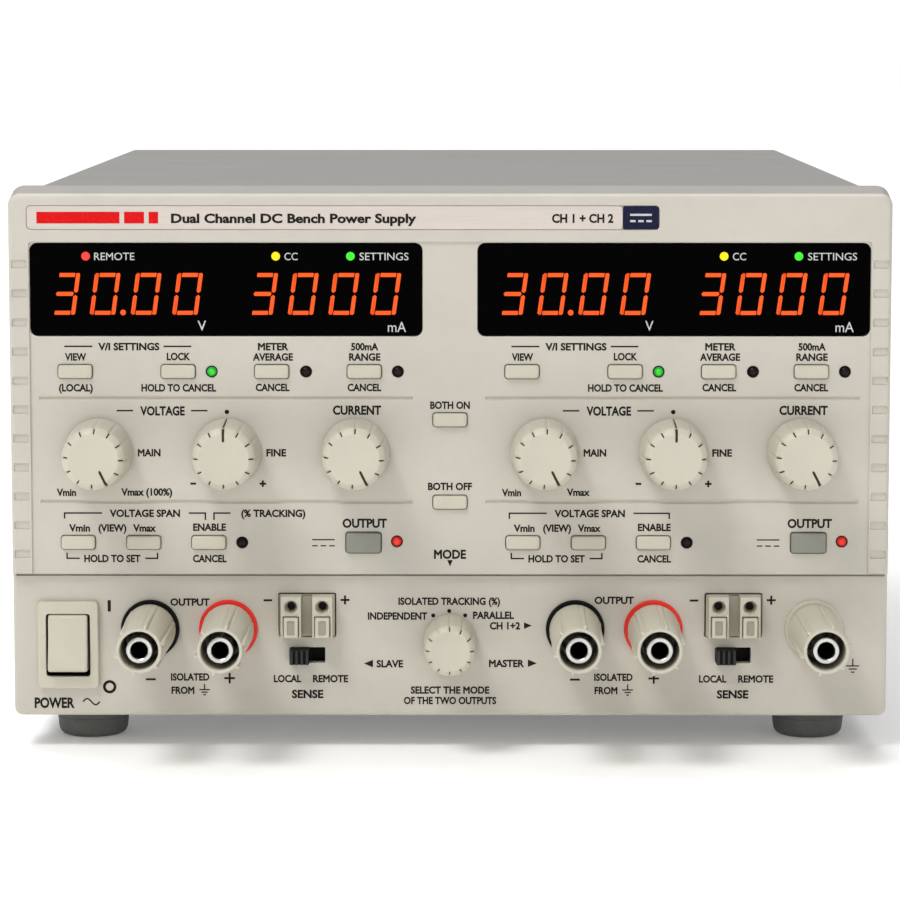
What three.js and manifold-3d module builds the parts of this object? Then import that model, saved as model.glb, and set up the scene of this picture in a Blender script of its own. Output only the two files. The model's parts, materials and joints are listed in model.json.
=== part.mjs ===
// Dual-channel bench power supply: a moulded front with two identical channels of knobs, keys and a
// display, a folded steel case behind it, finned heat sink and mains inlet at the back.
// Millimetres, +Z up, front facing -Y. The origin is on the table under the middle of the whole supply.
import * as THREE from "three";
import Module from "manifold-3d";
import { mergeVertices } from "three/addons/utils/BufferGeometryUtils.js";

const wasm = await Module();
wasm.setup();

// ---- Driving dimensions ----

const WIDTH = 213;              // half of a 19 inch rack, over the front moulding
const DEPTH = 350;              // from the tips of the output terminals to the ends of the cooling fins
const BEZEL_HEIGHT = 129;
const CLEARANCE = 0.3;          // between pieces that would touch

const BEZEL_BOTTOM = 8;         // height above the table
const BEZEL_TOP = BEZEL_BOTTOM + BEZEL_HEIGHT;
const BEZEL_DEPTH = 12;
const WALL = 2.7;               // thickness of the moulding's front wall
const STEP_Z = 43.1;            // where the terminal area starts to sit back
const PANEL_TOP = 124;          // top of the shallow panel that holds the controls
const PANEL_HALF = 101.5;
const PANEL_RECESS = 0.5;
const TERMINAL_RECESS = 1.8;

const POST_LENGTH = 33;         // output terminal, from the terminal area to its tip
const FIN_DEPTH = 10;           // heat sink behind the rear panel
const FRONT_Y = -DEPTH / 2 + POST_LENGTH - TERMINAL_RECESS;
const REAR_Y = DEPTH / 2 - FIN_DEPTH;

const SHEET = 1.2;              // steel of the cover and the tray
const CASE_HALF = 104.7;        // half the width over the cover
const CASE_TOP = BEZEL_TOP - 1.5;
const CASE_BOTTOM = BEZEL_BOTTOM + 0.6;

// The two channels are the same panel, this far apart.
const CHANNEL_PITCH = 108;
const CHANNELS = [{ id: 1, x: -CHANNEL_PITCH / 2 }, { id: 2, x: CHANNEL_PITCH / 2 }];

const WINDOW = { width: 94.3, height: 22.1, z: 112.45, radius: 1.7, thick: 2.5 };

const KEY = { width: 8.4, height: 3.5, radius: 0.6, proud: 1 };
const OUTPUT_KEY = { width: 8.7, height: 5.2, radius: 0.8, proud: 1 };
const UPPER_KEYS_Z = 92.6;
const LOWER_KEYS_Z = 50.9;
const CHANNEL_KEYS = [
  { name: "view_key", x: -36.6, z: UPPER_KEYS_Z },
  { name: "lock_key", x: -11.7, z: UPPER_KEYS_Z },
  { name: "average_key", x: 10.9, z: UPPER_KEYS_Z },
  { name: "range_key", x: 33.3, z: UPPER_KEYS_Z },
  { name: "span_min_key", x: -36.3, z: LOWER_KEYS_Z },
  { name: "span_max_key", x: -20.4, z: LOWER_KEYS_Z },
  { name: "enable_key", x: -4.6, z: LOWER_KEYS_Z },
  { name: "output_key", x: 33, z: LOWER_KEYS_Z, output: true },
];
const CENTRE_KEYS = [
  { name: "both_on_key", x: 0, z: 80.9 },
  { name: "both_off_key", x: 0, z: 60.8 },
];
const LAMP_RADIUS = 1.45;       // hole in the moulding for a lamp
const CHANNEL_LAMPS = [
  [-3.6, UPPER_KEYS_Z],
  [19.2, UPPER_KEYS_Z],
  [41.4, UPPER_KEYS_Z],
  [3.5, LOWER_KEYS_Z],
  [41.1, LOWER_KEYS_Z],
];

const KNOB_PITCH = 31.1;
const KNOB_Z = 73;
const CHANNEL_KNOBS = [
  { name: "voltage_main_knob", x: -KNOB_PITCH },
  { name: "voltage_fine_knob", x: 0 },
  { name: "current_knob", x: KNOB_PITCH },
];
const KNOB = { base: 8.3, front: 7.6, face: 6.1, length: 14.9 };
const MODE_KNOB = { base: 6.5, front: 6.2, face: 4.9, length: 16.5 };
const MODE_Z = 26.7;
const SHAFT_RADIUS = 3;

const POST_Z = 29.5;
const POSTS = [
  { name: "negative_1", x: -73.1, ring: "black" },
  { name: "positive_1", x: -54.05, ring: "red" },
  { name: "negative_2", x: 30.5, ring: "black" },
  { name: "positive_2", x: 49.55, ring: "red" },
  { name: "ground", x: 88.7, ring: "cream" },
];
const POST = { collar: 7.15, collarThick: 1.2, socket: 3.12, hole: 2.02, inset: 1 };
const CAP = { base: 6.3, tip: 5.4, shroud: 4.58, shroudDepth: 18, gap: 0.5 };

const SENSE = [{ id: 1, x: -34.8 }, { id: 2, x: 69.05 }];
const SENSE_BLOCK = { width: 13.4, height: 10.2, z: 32.9, pitch: 7.62 };
const SENSE_SWITCH = { z: 23, width: 8.6, height: 3.8, slider: 4.7, proud: 4.5 };

const POWER = { x: -93.1, z: 25.6, width: 15, height: 21.6, openWidth: 10.7, openHeight: 15.4 };

const FOOT = { x: 89.2, radius: 9, height: CASE_BOTTOM - CLEARANCE, front: FRONT_Y + 22, rear: REAR_Y - 30 };

// ---- Materials ----

const paint = (color, roughness, metalness = 0) =>
  new THREE.MeshStandardMaterial({ color, roughness, metalness });
const cream = paint(0xd0c9bd, 0.55);
const creamCap = paint(0xd8d2c0, 0.45);
const grey = paint(0x93928a, 0.5);
const black = paint(0x101010, 0.4);
const red = paint(0xd8281c, 0.4);
const glossBlack = paint(0x050505, 0.1);
const rubber = paint(0x525350, 0.8);
const steelPaint = paint(0xa39f9b, 0.6);
const plate = paint(0xc8c8c8, 0.35, 1);
const board = paint(0x1f5a34, 0.6);
const anodised = paint(0x202022, 0.45, 0.8);
const copper = paint(0xb87333, 0.5, 0.3);

// ---- Solids ----

// A closed geometry as a solid that can be joined and cut.
function solid(geometry) {
  const bare = geometry.clone();
  bare.deleteAttribute("normal");
  bare.deleteAttribute("uv");
  const merged = mergeVertices(bare, 1e-4);
  return new wasm.Manifold(
    new wasm.Mesh({
      numProp: 3,
      vertProperties: new Float32Array(merged.attributes.position.array),
      triVerts: new Uint32Array(merged.index.array),
    }),
  );
}

function geometryOf(body) {
  const mesh = body.getMesh();
  const geometry = new THREE.BufferGeometry();
  geometry.setAttribute("position", new THREE.BufferAttribute(mesh.vertProperties, 3));
  geometry.setIndex(new THREE.BufferAttribute(mesh.triVerts, 1));
  geometry.computeVertexNormals();
  return geometry;
}

const join = (first, ...rest) => rest.reduce((all, next) => all.add(next), first);
const cut = (first, ...rest) => rest.reduce((left, next) => left.subtract(next), first);

// A box given by its limits on each axis.
function box([x0, x1], [y0, y1], [z0, z1]) {
  const geometry = new THREE.BoxGeometry(x1 - x0, y1 - y0, z1 - z0);
  geometry.translate((x0 + x1) / 2, (y0 + y1) / 2, (z0 + z1) / 2);
  return solid(geometry);
}

const around = (centre, size) => [centre - size / 2, centre + size / 2];

function roundedRectangle(width, height, radius) {
  const shape = new THREE.Shape();
  const x = width / 2 - radius;
  const y = height / 2 - radius;
  const quarter = Math.PI / 2;
  shape.absarc(x, y, radius, 0, quarter);
  shape.absarc(-x, y, radius, quarter, 2 * quarter);
  shape.absarc(-x, -y, radius, 2 * quarter, 3 * quarter);
  shape.absarc(x, -y, radius, 3 * quarter, 4 * quarter);
  return shape;
}

// Extrudes a shape drawn in X and Z, moved to (x, z), from y = front to y = back.
function prism(shape, [front, back], x = 0, z = 0, curveSegments = 1) {
  const options = { depth: back - front, bevelEnabled: false, curveSegments };
  const geometry = new THREE.ExtrudeGeometry(shape, options);
  geometry.rotateX(Math.PI / 2);
  geometry.translate(x, back, z);
  return solid(geometry);
}

// Extrudes a side view, drawn in Y and Z, across the width.
function acrossWidth(points, [x0, x1]) {
  const shape = new THREE.Shape(points.map(([y, z]) => new THREE.Vector2(y, z)));
  const options = { depth: x1 - x0, bevelEnabled: false };
  const geometry = new THREE.ExtrudeGeometry(shape, options);
  // Shape x, y and depth become Y, Z and X.
  geometry.applyMatrix4(new THREE.Matrix4().set(0, 0, 1, x0, 1, 0, 0, 0, 0, 1, 0, 0, 0, 0, 0, 1));
  return solid(geometry);
}

// Turns a profile of [radius, y] points about the Y axis.
function turned(profile, segments) {
  const points = profile.map(([radius, y]) => new THREE.Vector2(radius, y));
  return solid(new THREE.LatheGeometry(points, segments));
}

function disc(radius, [front, back], x, z, segments = 12) {
  const geometry = new THREE.CylinderGeometry(radius, radius, back - front, segments);
  geometry.translate(x, (front + back) / 2, z);
  return solid(geometry);
}

function upright(radius, [bottom, top], x, y, segments = 12) {
  const geometry = new THREE.CylinderGeometry(radius, radius, top - bottom, segments);
  geometry.rotateX(Math.PI / 2);
  geometry.translate(x, y, (bottom + top) / 2);
  return solid(geometry);
}

// ---- Front moulding ----
// Everything from here to the terminals is placed from the moulding's front plane, y = 0.

const channelX = (channel, item) => channel.x + item.x;
const keySize = (key) => (key.output ? OUTPUT_KEY : KEY);

function allKeys() {
  const channelKeys = CHANNELS.flatMap((channel) =>
    CHANNEL_KEYS.map((key) => ({ ...key, name: `${key.name}_${channel.id}`, x: channelX(channel, key) })));
  return [...channelKeys, ...CENTRE_KEYS];
}

function allKnobs() {
  return CHANNELS.flatMap((channel) =>
    CHANNEL_KNOBS.map((knob) => ({ name: `${knob.name}_${channel.id}`, x: channelX(channel, knob) })));
}

function bezelBody() {
  const sideView = [
    [0, STEP_Z],
    [0, BEZEL_TOP - 3.4],
    [0.5, BEZEL_TOP - 2.4],
    [1.6, BEZEL_TOP - 1.7],
    [9.5, BEZEL_TOP],
    [BEZEL_DEPTH, BEZEL_TOP],
    [BEZEL_DEPTH, BEZEL_BOTTOM],
    [TERMINAL_RECESS + 0.8, BEZEL_BOTTOM],
    [TERMINAL_RECESS, BEZEL_BOTTOM + 0.8],
    [TERMINAL_RECESS, STEP_Z - 0.6],
    [TERMINAL_RECESS - 0.6, STEP_Z],
  ];
  const outline = roundedRectangle(WIDTH, BEZEL_HEIGHT, 2.4);
  const middle = (BEZEL_TOP + BEZEL_BOTTOM) / 2;
  const body = acrossWidth(sideView, [-WIDTH / 2, WIDTH / 2])
    .intersect(prism(outline, [-1, BEZEL_DEPTH + 1], 0, middle, 2));
  const inner = WIDTH / 2 - WALL;
  const behind = BEZEL_DEPTH + 1;
  const upperRoom = box([-inner, inner], [PANEL_RECESS + WALL, behind], [STEP_Z, BEZEL_TOP - 4]);
  const lowerRoom = box([-inner, inner], [TERMINAL_RECESS + WALL, behind], [BEZEL_BOTTOM + WALL, STEP_Z + 1]);
  return cut(body, upperRoom, lowerRoom);
}

// Shallow slots down both edges of the upper part, for the fingers.
function gripSlots() {
  const count = 11;
  const pitch = 7.05;
  const height = 1.9;
  const firstZ = 118.6;
  const slots = [];
  for (const side of [-1, 1]) {
    for (let i = 0; i < count; i++) {
      const x = side * (PANEL_HALF + 2.4);
      slots.push(box(around(x, 3.7), [-1, PANEL_RECESS], around(firstZ - i * pitch, height)));
    }
  }
  return slots;
}

function frontBezel() {
  const through = [-2, BEZEL_DEPTH];
  const title = box([-102, 50.4], [-1, 0.4], [126.3, 132.2]);
  const panel = box([-PANEL_HALF, PANEL_HALF], [-1, PANEL_RECESS], [STEP_Z - 5, PANEL_TOP]);
  const holes = [title, panel, ...gripSlots()];
  const hole = (item, x, z) => {
    const shape = roundedRectangle(item.width + 2 * CLEARANCE, item.height + 2 * CLEARANCE, item.radius);
    holes.push(prism(shape, through, x, z));
  };
  for (const channel of CHANNELS) {
    hole(WINDOW, channel.x, WINDOW.z);
    for (const [x, z] of CHANNEL_LAMPS) holes.push(disc(LAMP_RADIUS, through, channel.x + x, z, 8));
  }
  for (const key of allKeys()) hole(keySize(key), key.x, key.z);
  for (const knob of allKnobs()) holes.push(disc(SHAFT_RADIUS + 0.6, through, knob.x, KNOB_Z, 10));
  holes.push(disc(SHAFT_RADIUS + 0.6, through, 0, MODE_Z, 10));
  for (const post of POSTS) holes.push(disc(POST.socket + 1.2, through, post.x, POST_Z, 12));
  for (const sense of SENSE) {
    const blockWidth = SENSE_BLOCK.width + 2 * CLEARANCE;
    const blockHeight = SENSE_BLOCK.height + 2 * CLEARANCE;
    holes.push(box(around(sense.x, blockWidth), through, around(SENSE_BLOCK.z, blockHeight)));
    holes.push(box(around(sense.x, SENSE_SWITCH.width), through, around(SENSE_SWITCH.z, SENSE_SWITCH.height)));
  }
  holes.push(box(around(POWER.x, 13.2), through, around(POWER.z, 19.2)));
  return cut(bezelBody(), ...holes);
}

// ---- Keys, knobs and the display ----

function keyCap(key) {
  const size = keySize(key);
  const front = PANEL_RECESS - size.proud;
  const flangeFront = PANEL_RECESS + WALL + CLEARANCE;
  const cap = prism(roundedRectangle(size.width, size.height, size.radius), [front, flangeFront + 0.4]);
  const flange = box(around(0, size.width + 1.6), [flangeFront, flangeFront + 0.8], around(0, size.height + 1.6));
  const stem = box(around(0, 2), [flangeFront + 0.4, 6], around(0, 2));
  return join(cap, flange, stem);
}

// A tapered knob with a bevelled rim and a dished face, on its shaft. Its back is at y = 0.
function knobBody(size) {
  const shaftEnd = 8.2;
  return turned([
    [0, -size.length + 0.7],
    [size.face * 0.6, -size.length + 0.4],
    [size.face, -size.length],
    [size.front, -size.length + 1.5],
    [size.base - 0.1, -1.2],
    [size.base, 0],
    [SHAFT_RADIUS, 0],
    [SHAFT_RADIUS, shaftEnd],
    [0, shaftEnd],
  ], 20);
}

function windowPane() {
  const front = PANEL_RECESS + 0.1;
  return prism(roundedRectangle(WINDOW.width, WINDOW.height, WINDOW.radius), [front, front + WINDOW.thick], 0, 0, 2);
}

// The board behind the controls, with its digit blocks, potentiometers and key switches.
function displayBoard() {
  const face = 9;
  const digits = { width: 40, height: 14, front: 4 };
  const parts = [box([-100, 100], [face, face + 1.6], [47, 124])];
  for (const channel of CHANNELS) {
    for (const x of [channel.x - 23.5, channel.x + 23.5]) {
      parts.push(box(around(x, digits.width), [digits.front, face + 0.5], around(WINDOW.z, digits.height)));
    }
  }
  for (const knob of allKnobs()) parts.push(box(around(knob.x, 12), [face - 0.5, face + 0.5], around(KNOB_Z, 12)));
  for (const key of allKeys()) parts.push(box(around(key.x, 6), [7, face + 0.5], around(key.z, 6)));
  return join(...parts);
}

// ---- Terminal area ----

// The socket tube and its coloured collar, fixed to the panel, with the threaded end behind it.
function postBase() {
  const panel = TERMINAL_RECESS;
  const tip = panel - POST_LENGTH + POST.inset;
  const collarFront = panel - POST.collarThick;
  const stud = POST.socket + 0.7;
  return turned([
    [0, tip + 20],
    [POST.hole, tip + 20],
    [POST.hole, tip],
    [POST.socket, tip],
    [POST.socket, collarFront],
    [POST.collar, collarFront],
    [POST.collar, panel - CLEARANCE / 2],
    [stud, panel - CLEARANCE / 2],
    [stud, panel + WALL + 1],
    [5.5, panel + WALL + 1],
    [5.5, panel + WALL + 4],
    [2, panel + WALL + 4],
    [2, panel + WALL + 11],
    [0, panel + WALL + 11],
  ], 16);
}

// The insulated cap that screws down over the socket tube.
function postCap() {
  const back = TERMINAL_RECESS - POST.collarThick - CAP.gap;
  const tip = TERMINAL_RECESS - POST_LENGTH;
  const bore = POST.socket + 0.4;
  return turned([
    [bore, back],
    [bore, tip + CAP.shroudDepth],
    [CAP.shroud, tip + CAP.shroudDepth],
    [CAP.shroud, tip],
    [CAP.tip, tip],
    [CAP.base - 0.35, back - 8],
    [CAP.base, back],
    [bore, back],
  ], 16);
}

const senseLever = { width: 3.5, height: 5, z: -2.4, proud: 5.6 };
const senseUnit = { width: 4.9, proud: 4.6 };

// Two clamp units side by side on a common base, each with a wire hole above its lever.
function senseTerminal() {
  const back = TERMINAL_RECESS + 9;
  const base = box(around(0, SENSE_BLOCK.width), [TERMINAL_RECESS - 1.2, back], around(0, SENSE_BLOCK.height));
  const parts = [];
  const cuts = [];
  for (const x of [-SENSE_BLOCK.pitch / 2, SENSE_BLOCK.pitch / 2]) {
    const front = TERMINAL_RECESS - senseUnit.proud;
    parts.push(box(around(x, senseUnit.width), [front, back], around(0, SENSE_BLOCK.height)));
    const funnel = new THREE.CylinderGeometry(1.65, 1, 4.6, 10);
    funnel.rotateX(Math.PI);
    funnel.translate(x, front + 2.2, 2.6);
    cuts.push(solid(funnel));
    const room = senseLever.width + 2 * CLEARANCE;
    cuts.push(box(around(x, room), [front - 1, back - 2], [-SENSE_BLOCK.height / 2 - 1, 0.5]));
  }
  return cut(join(base, ...parts), ...cuts);
}

function senseLeverBody() {
  const front = TERMINAL_RECESS - senseLever.proud;
  const height = around(senseLever.z, senseLever.height);
  return box(around(0, senseLever.width), [front, front + 7.5], height);
}

function senseSlider() {
  const front = TERMINAL_RECESS - SENSE_SWITCH.proud;
  const behind = TERMINAL_RECESS + WALL + CLEARANCE;
  const grip = box(around(0, SENSE_SWITCH.slider), [front, behind + 1], around(0, 3.2));
  const shoe = box(around(0, SENSE_SWITCH.slider + 1.6), [behind, behind + 1.4], around(0, 5.4));
  return join(grip, shoe);
}

const rocker = { pivot: TERMINAL_RECESS + 1.6, proud: 1.5, halfHeight: 7, tilt: 9, rim: 1.6 };

function powerSwitchHousing() {
  const rimFront = TERMINAL_RECESS - rocker.rim;
  const rim = prism(roundedRectangle(POWER.width, POWER.height, 0.8), [rimFront, TERMINAL_RECESS - CLEARANCE / 2]);
  const body = box(around(0, 12.6), [rimFront + 1, TERMINAL_RECESS + 18], around(0, 18.6));
  const room = box(around(0, POWER.openWidth), [rimFront - 1, TERMINAL_RECESS + 8], around(0, POWER.openHeight));
  return cut(join(rim, body), room);
}

// The rocker about its pivot, tipped with its upper half pressed in.
function powerRocker() {
  const front = TERMINAL_RECESS - rocker.rim - rocker.proud - rocker.pivot;
  const half = rocker.halfHeight;
  const level = acrossWidth([
    [front, -half],
    [front + 0.35, 0],
    [front, half],
    [1.2, half - 0.4],
    [3.2, 0],
    [1.2, -half + 0.4],
  ], [-5, 5]);
  const geometry = geometryOf(level);
  geometry.rotateX(THREE.MathUtils.degToRad(-rocker.tilt));
  return solid(geometry);
}

// ---- Case ----
// From here on everything is placed from the origin.

const coverFront = FRONT_Y + BEZEL_DEPTH + CLEARANCE;

// Slots through both side walls, in a row of upright openings.
function sideVents(fromY, z0, z1, count) {
  const vents = [];
  for (let i = 0; i < count; i++) {
    const y = fromY + i * 8;
    vents.push(box([-CASE_HALF - 1, CASE_HALF + 1], [y, y + 3], [z0, z1]));
  }
  return vents;
}

// One folded sheet: the top and both sides.
function topCover() {
  const bottom = CASE_BOTTOM + 2;
  const height = CASE_TOP - bottom;
  const middle = (CASE_TOP + bottom) / 2;
  const bend = 2;
  // The rounded outline is taller than the cover and cut off below, so that only the top folds are round.
  const outer = prism(roundedRectangle(2 * CASE_HALF, 2 * height, bend), [coverFront, REAR_Y], 0, middle - height / 2);
  const inside = CASE_HALF - SHEET;
  const room = box([-inside, inside], [coverFront - 1, REAR_Y + 1], [bottom - 2 * height, CASE_TOP - SHEET]);
  const below = box([-CASE_HALF - 1, CASE_HALF + 1], [coverFront - 1, REAR_Y + 1], [bottom - 2 * height, bottom]);
  return cut(outer, room, below, ...sideVents(REAR_Y - 90, 40, 100, 9));
}

// The bottom of the case, with turned-up edges inside the cover and slots under the heat.
function chassisTray() {
  const half = CASE_HALF - SHEET - CLEARANCE;
  const rear = REAR_Y - SHEET - CLEARANCE - 1;
  const outer = box([-half, half], [coverFront, rear], [CASE_BOTTOM, CASE_BOTTOM + 14]);
  const room = box([-half + SHEET, half - SHEET], [coverFront - 1, rear + 1], [CASE_BOTTOM + SHEET, CASE_BOTTOM + 20]);
  const slots = [];
  for (let i = 0; i < 8; i++) {
    const y = rear - 80 + i * 8;
    slots.push(box([20, 70], [y, y + 3], [CASE_BOTTOM - 1, CASE_BOTTOM + 2]));
    slots.push(box([-70, -20], [y, y + 3], [CASE_BOTTOM - 1, CASE_BOTTOM + 2]));
  }
  return cut(outer, room, ...slots);
}

const INLET = { x: -72, z: 30, width: 30, height: 24, openWidth: 24, openHeight: 17, depth: 19 };
const FINS = { count: 19, width: 190, bottom: 60, top: 130, base: 3.5, thick: 2.2 };

function rearPanel() {
  const half = CASE_HALF - SHEET - CLEARANCE;
  const y = [REAR_Y - 1.5, REAR_Y];
  const body = box([-half, half], y, [CASE_BOTTOM, CASE_TOP - SHEET - CLEARANCE]);
  const inletHole = box(around(INLET.x, 28), [REAR_Y - 3, REAR_Y + 1], around(INLET.z, 21));
  return cut(body, inletHole);
}

// A flanged appliance inlet with its cavity open to the back.
function mainsInlet() {
  const face = REAR_Y + 3;
  const flange = prism(roundedRectangle(INLET.width, INLET.height, 2), [REAR_Y + CLEARANCE, face]);
  const body = box(around(0, 27), [face - 22, face - 1], around(0, 20));
  const room = prism(roundedRectangle(INLET.openWidth, INLET.openHeight, 2), [face - INLET.depth, face + 1]);
  return cut(join(flange, body), room);
}

function heatSink() {
  const front = REAR_Y + CLEARANCE;
  const back = front + FINS.base;
  const parts = [box(around(0, FINS.width), [front, back], [FINS.bottom, FINS.top])];
  const pitch = (FINS.width - FINS.thick) / (FINS.count - 1);
  for (let i = 0; i < FINS.count; i++) {
    const x = -FINS.width / 2 + FINS.thick / 2 + i * pitch;
    parts.push(box(around(x, FINS.thick), [back - 0.5, DEPTH / 2], [FINS.bottom, FINS.top]));
  }
  return join(...parts);
}

function foot() {
  const height = FOOT.height;
  const geometry = new THREE.LatheGeometry([
    [0, 0],
    [FOOT.radius - 2.4, 0],
    [FOOT.radius - 0.9, 0.9],
    [FOOT.radius - 0.1, 3],
    [FOOT.radius, height],
    [0, height],
  ].map(([radius, z]) => new THREE.Vector2(radius, z)), 20);
  geometry.rotateX(Math.PI / 2);
  return solid(geometry);
}

// A ring-core transformer, upright on the tray with its clamping plate and bolt.
function mainsTransformer() {
  const ring = new THREE.LatheGeometry([
    [16, 2],
    [50, 0],
    [56, 5],
    [56, 43],
    [50, 48],
    [16, 46],
    [16, 2],
  ].map(([radius, z]) => new THREE.Vector2(radius, z)), 24);
  ring.rotateX(Math.PI / 2);
  const cap = upright(28, [45, 49.5], 0, 0, 16);
  const bolt = upright(4, [0, 52], 0, 0, 8);
  return join(solid(ring), cap, bolt);
}

// The regulator board on its spacers, with reservoir capacitors, relays and two rectifiers.
function mainBoard() {
  const z = CASE_BOTTOM + SHEET + 8;
  const parts = [box([-95, 95], [22, 150], [z, z + 1.6])];
  for (const x of [-80, -50, 50, 80]) {
    parts.push(upright(12.5, [z + 1, z + 42], x, 60, 14));
    parts.push(box(around(x, 24), around(125, 12), [z + 1, z + 18]));
  }
  for (const x of [-88, 88]) {
    for (const y of [30, 142]) parts.push(upright(3, [CASE_BOTTOM + SHEET + CLEARANCE, z + 1], x, y, 6));
  }
  return join(...parts);
}

// ---- Assembly ----

const supply = new THREE.Group();
const front = new THREE.Group();
front.position.y = FRONT_Y;
supply.add(front);

function place(group, name, body, material, x = 0, y = 0, z = 0) {
  const mesh = new THREE.Mesh(geometryOf(body), material);
  mesh.name = name;
  mesh.position.set(x, y, z);
  group.add(mesh);
}

place(front, "front_bezel", frontBezel(), cream);
place(front, "display_board", displayBoard(), board);
for (const channel of CHANNELS) {
  place(front, `display_window_${channel.id}`, windowPane(), glossBlack, channel.x, 0, WINDOW.z);
}
for (const key of allKeys()) {
  place(front, key.name, keyCap(key), key.output ? grey : creamCap, key.x, 0, key.z);
}
for (const knob of allKnobs()) {
  place(front, knob.name, knobBody(KNOB), creamCap, knob.x, PANEL_RECESS - 0.7, KNOB_Z);
}
place(front, "mode_knob", knobBody(MODE_KNOB), creamCap, 0, TERMINAL_RECESS - 0.7, MODE_Z);
const ringPaint = { black, red, cream: creamCap };
for (const post of POSTS) {
  place(front, `terminal_post_${post.name}`, postBase(), ringPaint[post.ring], post.x, 0, POST_Z);
  place(front, `terminal_cap_${post.name}`, postCap(), creamCap, post.x, 0, POST_Z);
}
for (const sense of SENSE) {
  place(front, `sense_terminal_${sense.id}`, senseTerminal(), creamCap, sense.x, 0, SENSE_BLOCK.z);
  const half = SENSE_BLOCK.pitch / 2;
  place(front, `sense_lever_negative_${sense.id}`, senseLeverBody(), creamCap, sense.x - half, 0, SENSE_BLOCK.z);
  place(front, `sense_lever_positive_${sense.id}`, senseLeverBody(), creamCap, sense.x + half, 0, SENSE_BLOCK.z);
  const travel = SENSE_SWITCH.width - SENSE_SWITCH.slider;
  place(front, `sense_slider_${sense.id}`, senseSlider(), black, sense.x - travel / 2 + 0.1, 0, SENSE_SWITCH.z);
}
place(front, "power_switch_housing", powerSwitchHousing(), cream, POWER.x, 0, POWER.z);
place(front, "power_rocker", powerRocker(), creamCap, POWER.x, rocker.pivot, POWER.z);

place(supply, "top_cover", topCover(), steelPaint);
place(supply, "chassis_tray", chassisTray(), plate);
place(supply, "rear_panel", rearPanel(), steelPaint);
place(supply, "mains_inlet", mainsInlet(), black, INLET.x, 0, INLET.z);
place(supply, "heat_sink", heatSink(), anodised);
place(supply, "mains_transformer", mainsTransformer(), copper, -38, FRONT_Y + 90, CASE_BOTTOM + SHEET + CLEARANCE);
place(supply, "main_board", mainBoard(), board);
for (const [side, x] of [["left", -FOOT.x], ["right", FOOT.x]]) {
  place(supply, `foot_front_${side}`, foot(), rubber, x, FOOT.front, 0);
  place(supply, `foot_rear_${side}`, foot(), rubber, x, FOOT.rear, 0);
}

export default supply;
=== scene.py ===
"""Finished surfaces for a dual-channel bench power supply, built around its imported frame."""

import json
from math import atan2, cos, hypot, pi, radians, sin

import bmesh
import bpy
from bpy.props import FloatProperty, FloatVectorProperty, IntProperty, PointerProperty
from mathutils import Matrix, Vector


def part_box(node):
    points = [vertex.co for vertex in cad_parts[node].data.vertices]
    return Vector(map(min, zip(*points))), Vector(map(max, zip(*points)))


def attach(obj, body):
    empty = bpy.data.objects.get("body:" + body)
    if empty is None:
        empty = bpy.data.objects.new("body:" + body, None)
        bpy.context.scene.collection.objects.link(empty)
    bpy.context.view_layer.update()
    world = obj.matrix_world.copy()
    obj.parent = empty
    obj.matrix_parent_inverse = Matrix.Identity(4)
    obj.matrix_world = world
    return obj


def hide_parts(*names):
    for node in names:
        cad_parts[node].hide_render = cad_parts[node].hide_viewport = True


bl_info = {
    "name": "Bench Power Supply",
    "version": (1, 0, 0),
    "blender": (4, 5, 0),
    "location": "View3D > Sidebar > Supply",
    "description": "Builds the finished surfaces of a bench power supply around its frame",
    "category": "Object",
}

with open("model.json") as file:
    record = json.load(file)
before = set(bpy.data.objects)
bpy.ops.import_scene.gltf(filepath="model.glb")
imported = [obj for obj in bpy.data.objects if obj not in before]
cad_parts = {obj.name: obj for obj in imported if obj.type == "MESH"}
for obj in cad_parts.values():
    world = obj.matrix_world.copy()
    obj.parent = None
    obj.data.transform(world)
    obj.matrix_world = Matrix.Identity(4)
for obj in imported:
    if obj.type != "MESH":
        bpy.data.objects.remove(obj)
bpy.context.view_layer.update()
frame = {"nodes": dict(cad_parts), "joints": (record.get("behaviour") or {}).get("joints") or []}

MM = 0.001
CASE = "case"


# ---- Places, in millimetres, read from the frame ----


def limits(node):
    """The lowest and highest corners of a frame node, in millimetres."""
    low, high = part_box(node)
    return low / MM, high / MM


def middle(node):
    low, high = limits(node)
    return (low + high) / 2


def extent(node):
    low, high = limits(node)
    return high - low


BEZEL_LOW, BEZEL_HIGH = limits("front_bezel")
FRONT = BEZEL_LOW.y
PANEL = FRONT + 0.5  # shallow panel that holds the controls
TERMINAL = FRONT + 1.8  # terminal area below it
WALL = 2.7
STEP_Z = 43.1
COVER_LOW, COVER_HIGH = limits("top_cover")
REAR = limits("rear_panel")[1].y

CHANNELS = {number: middle(f"display_window_{number}").x for number in (1, 2)}
CHANNEL_KEYS = ("view", "lock", "average", "range", "span_min", "span_max", "enable", "output")
KEYS = [f"{key}_key_{number}" for number in CHANNELS for key in CHANNEL_KEYS]
KEYS += ["both_on_key", "both_off_key"]
KEY_FLANGE = 1.6  # how much wider a key is behind the panel than in front
KNOBS = [
    f"{knob}_knob_{number}" for number in CHANNELS for knob in ("voltage_main", "voltage_fine", "current")
]
POSTS = ("negative_1", "positive_1", "negative_2", "positive_2", "ground")
GAP = 0.3

FOOT_WELL = 3.2  # depth of the screw's well under a foot
UPPER_LAMPS_Z = 92.6
LAMPS = [(-3.6, UPPER_LAMPS_Z, "green"), (19.2, UPPER_LAMPS_Z, "dark"), (41.4, UPPER_LAMPS_Z, "dark")]
LAMPS += [(3.5, 50.9, "dark"), (41.1, 51.2, "red")]


# ---- Mesh building ----


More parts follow.
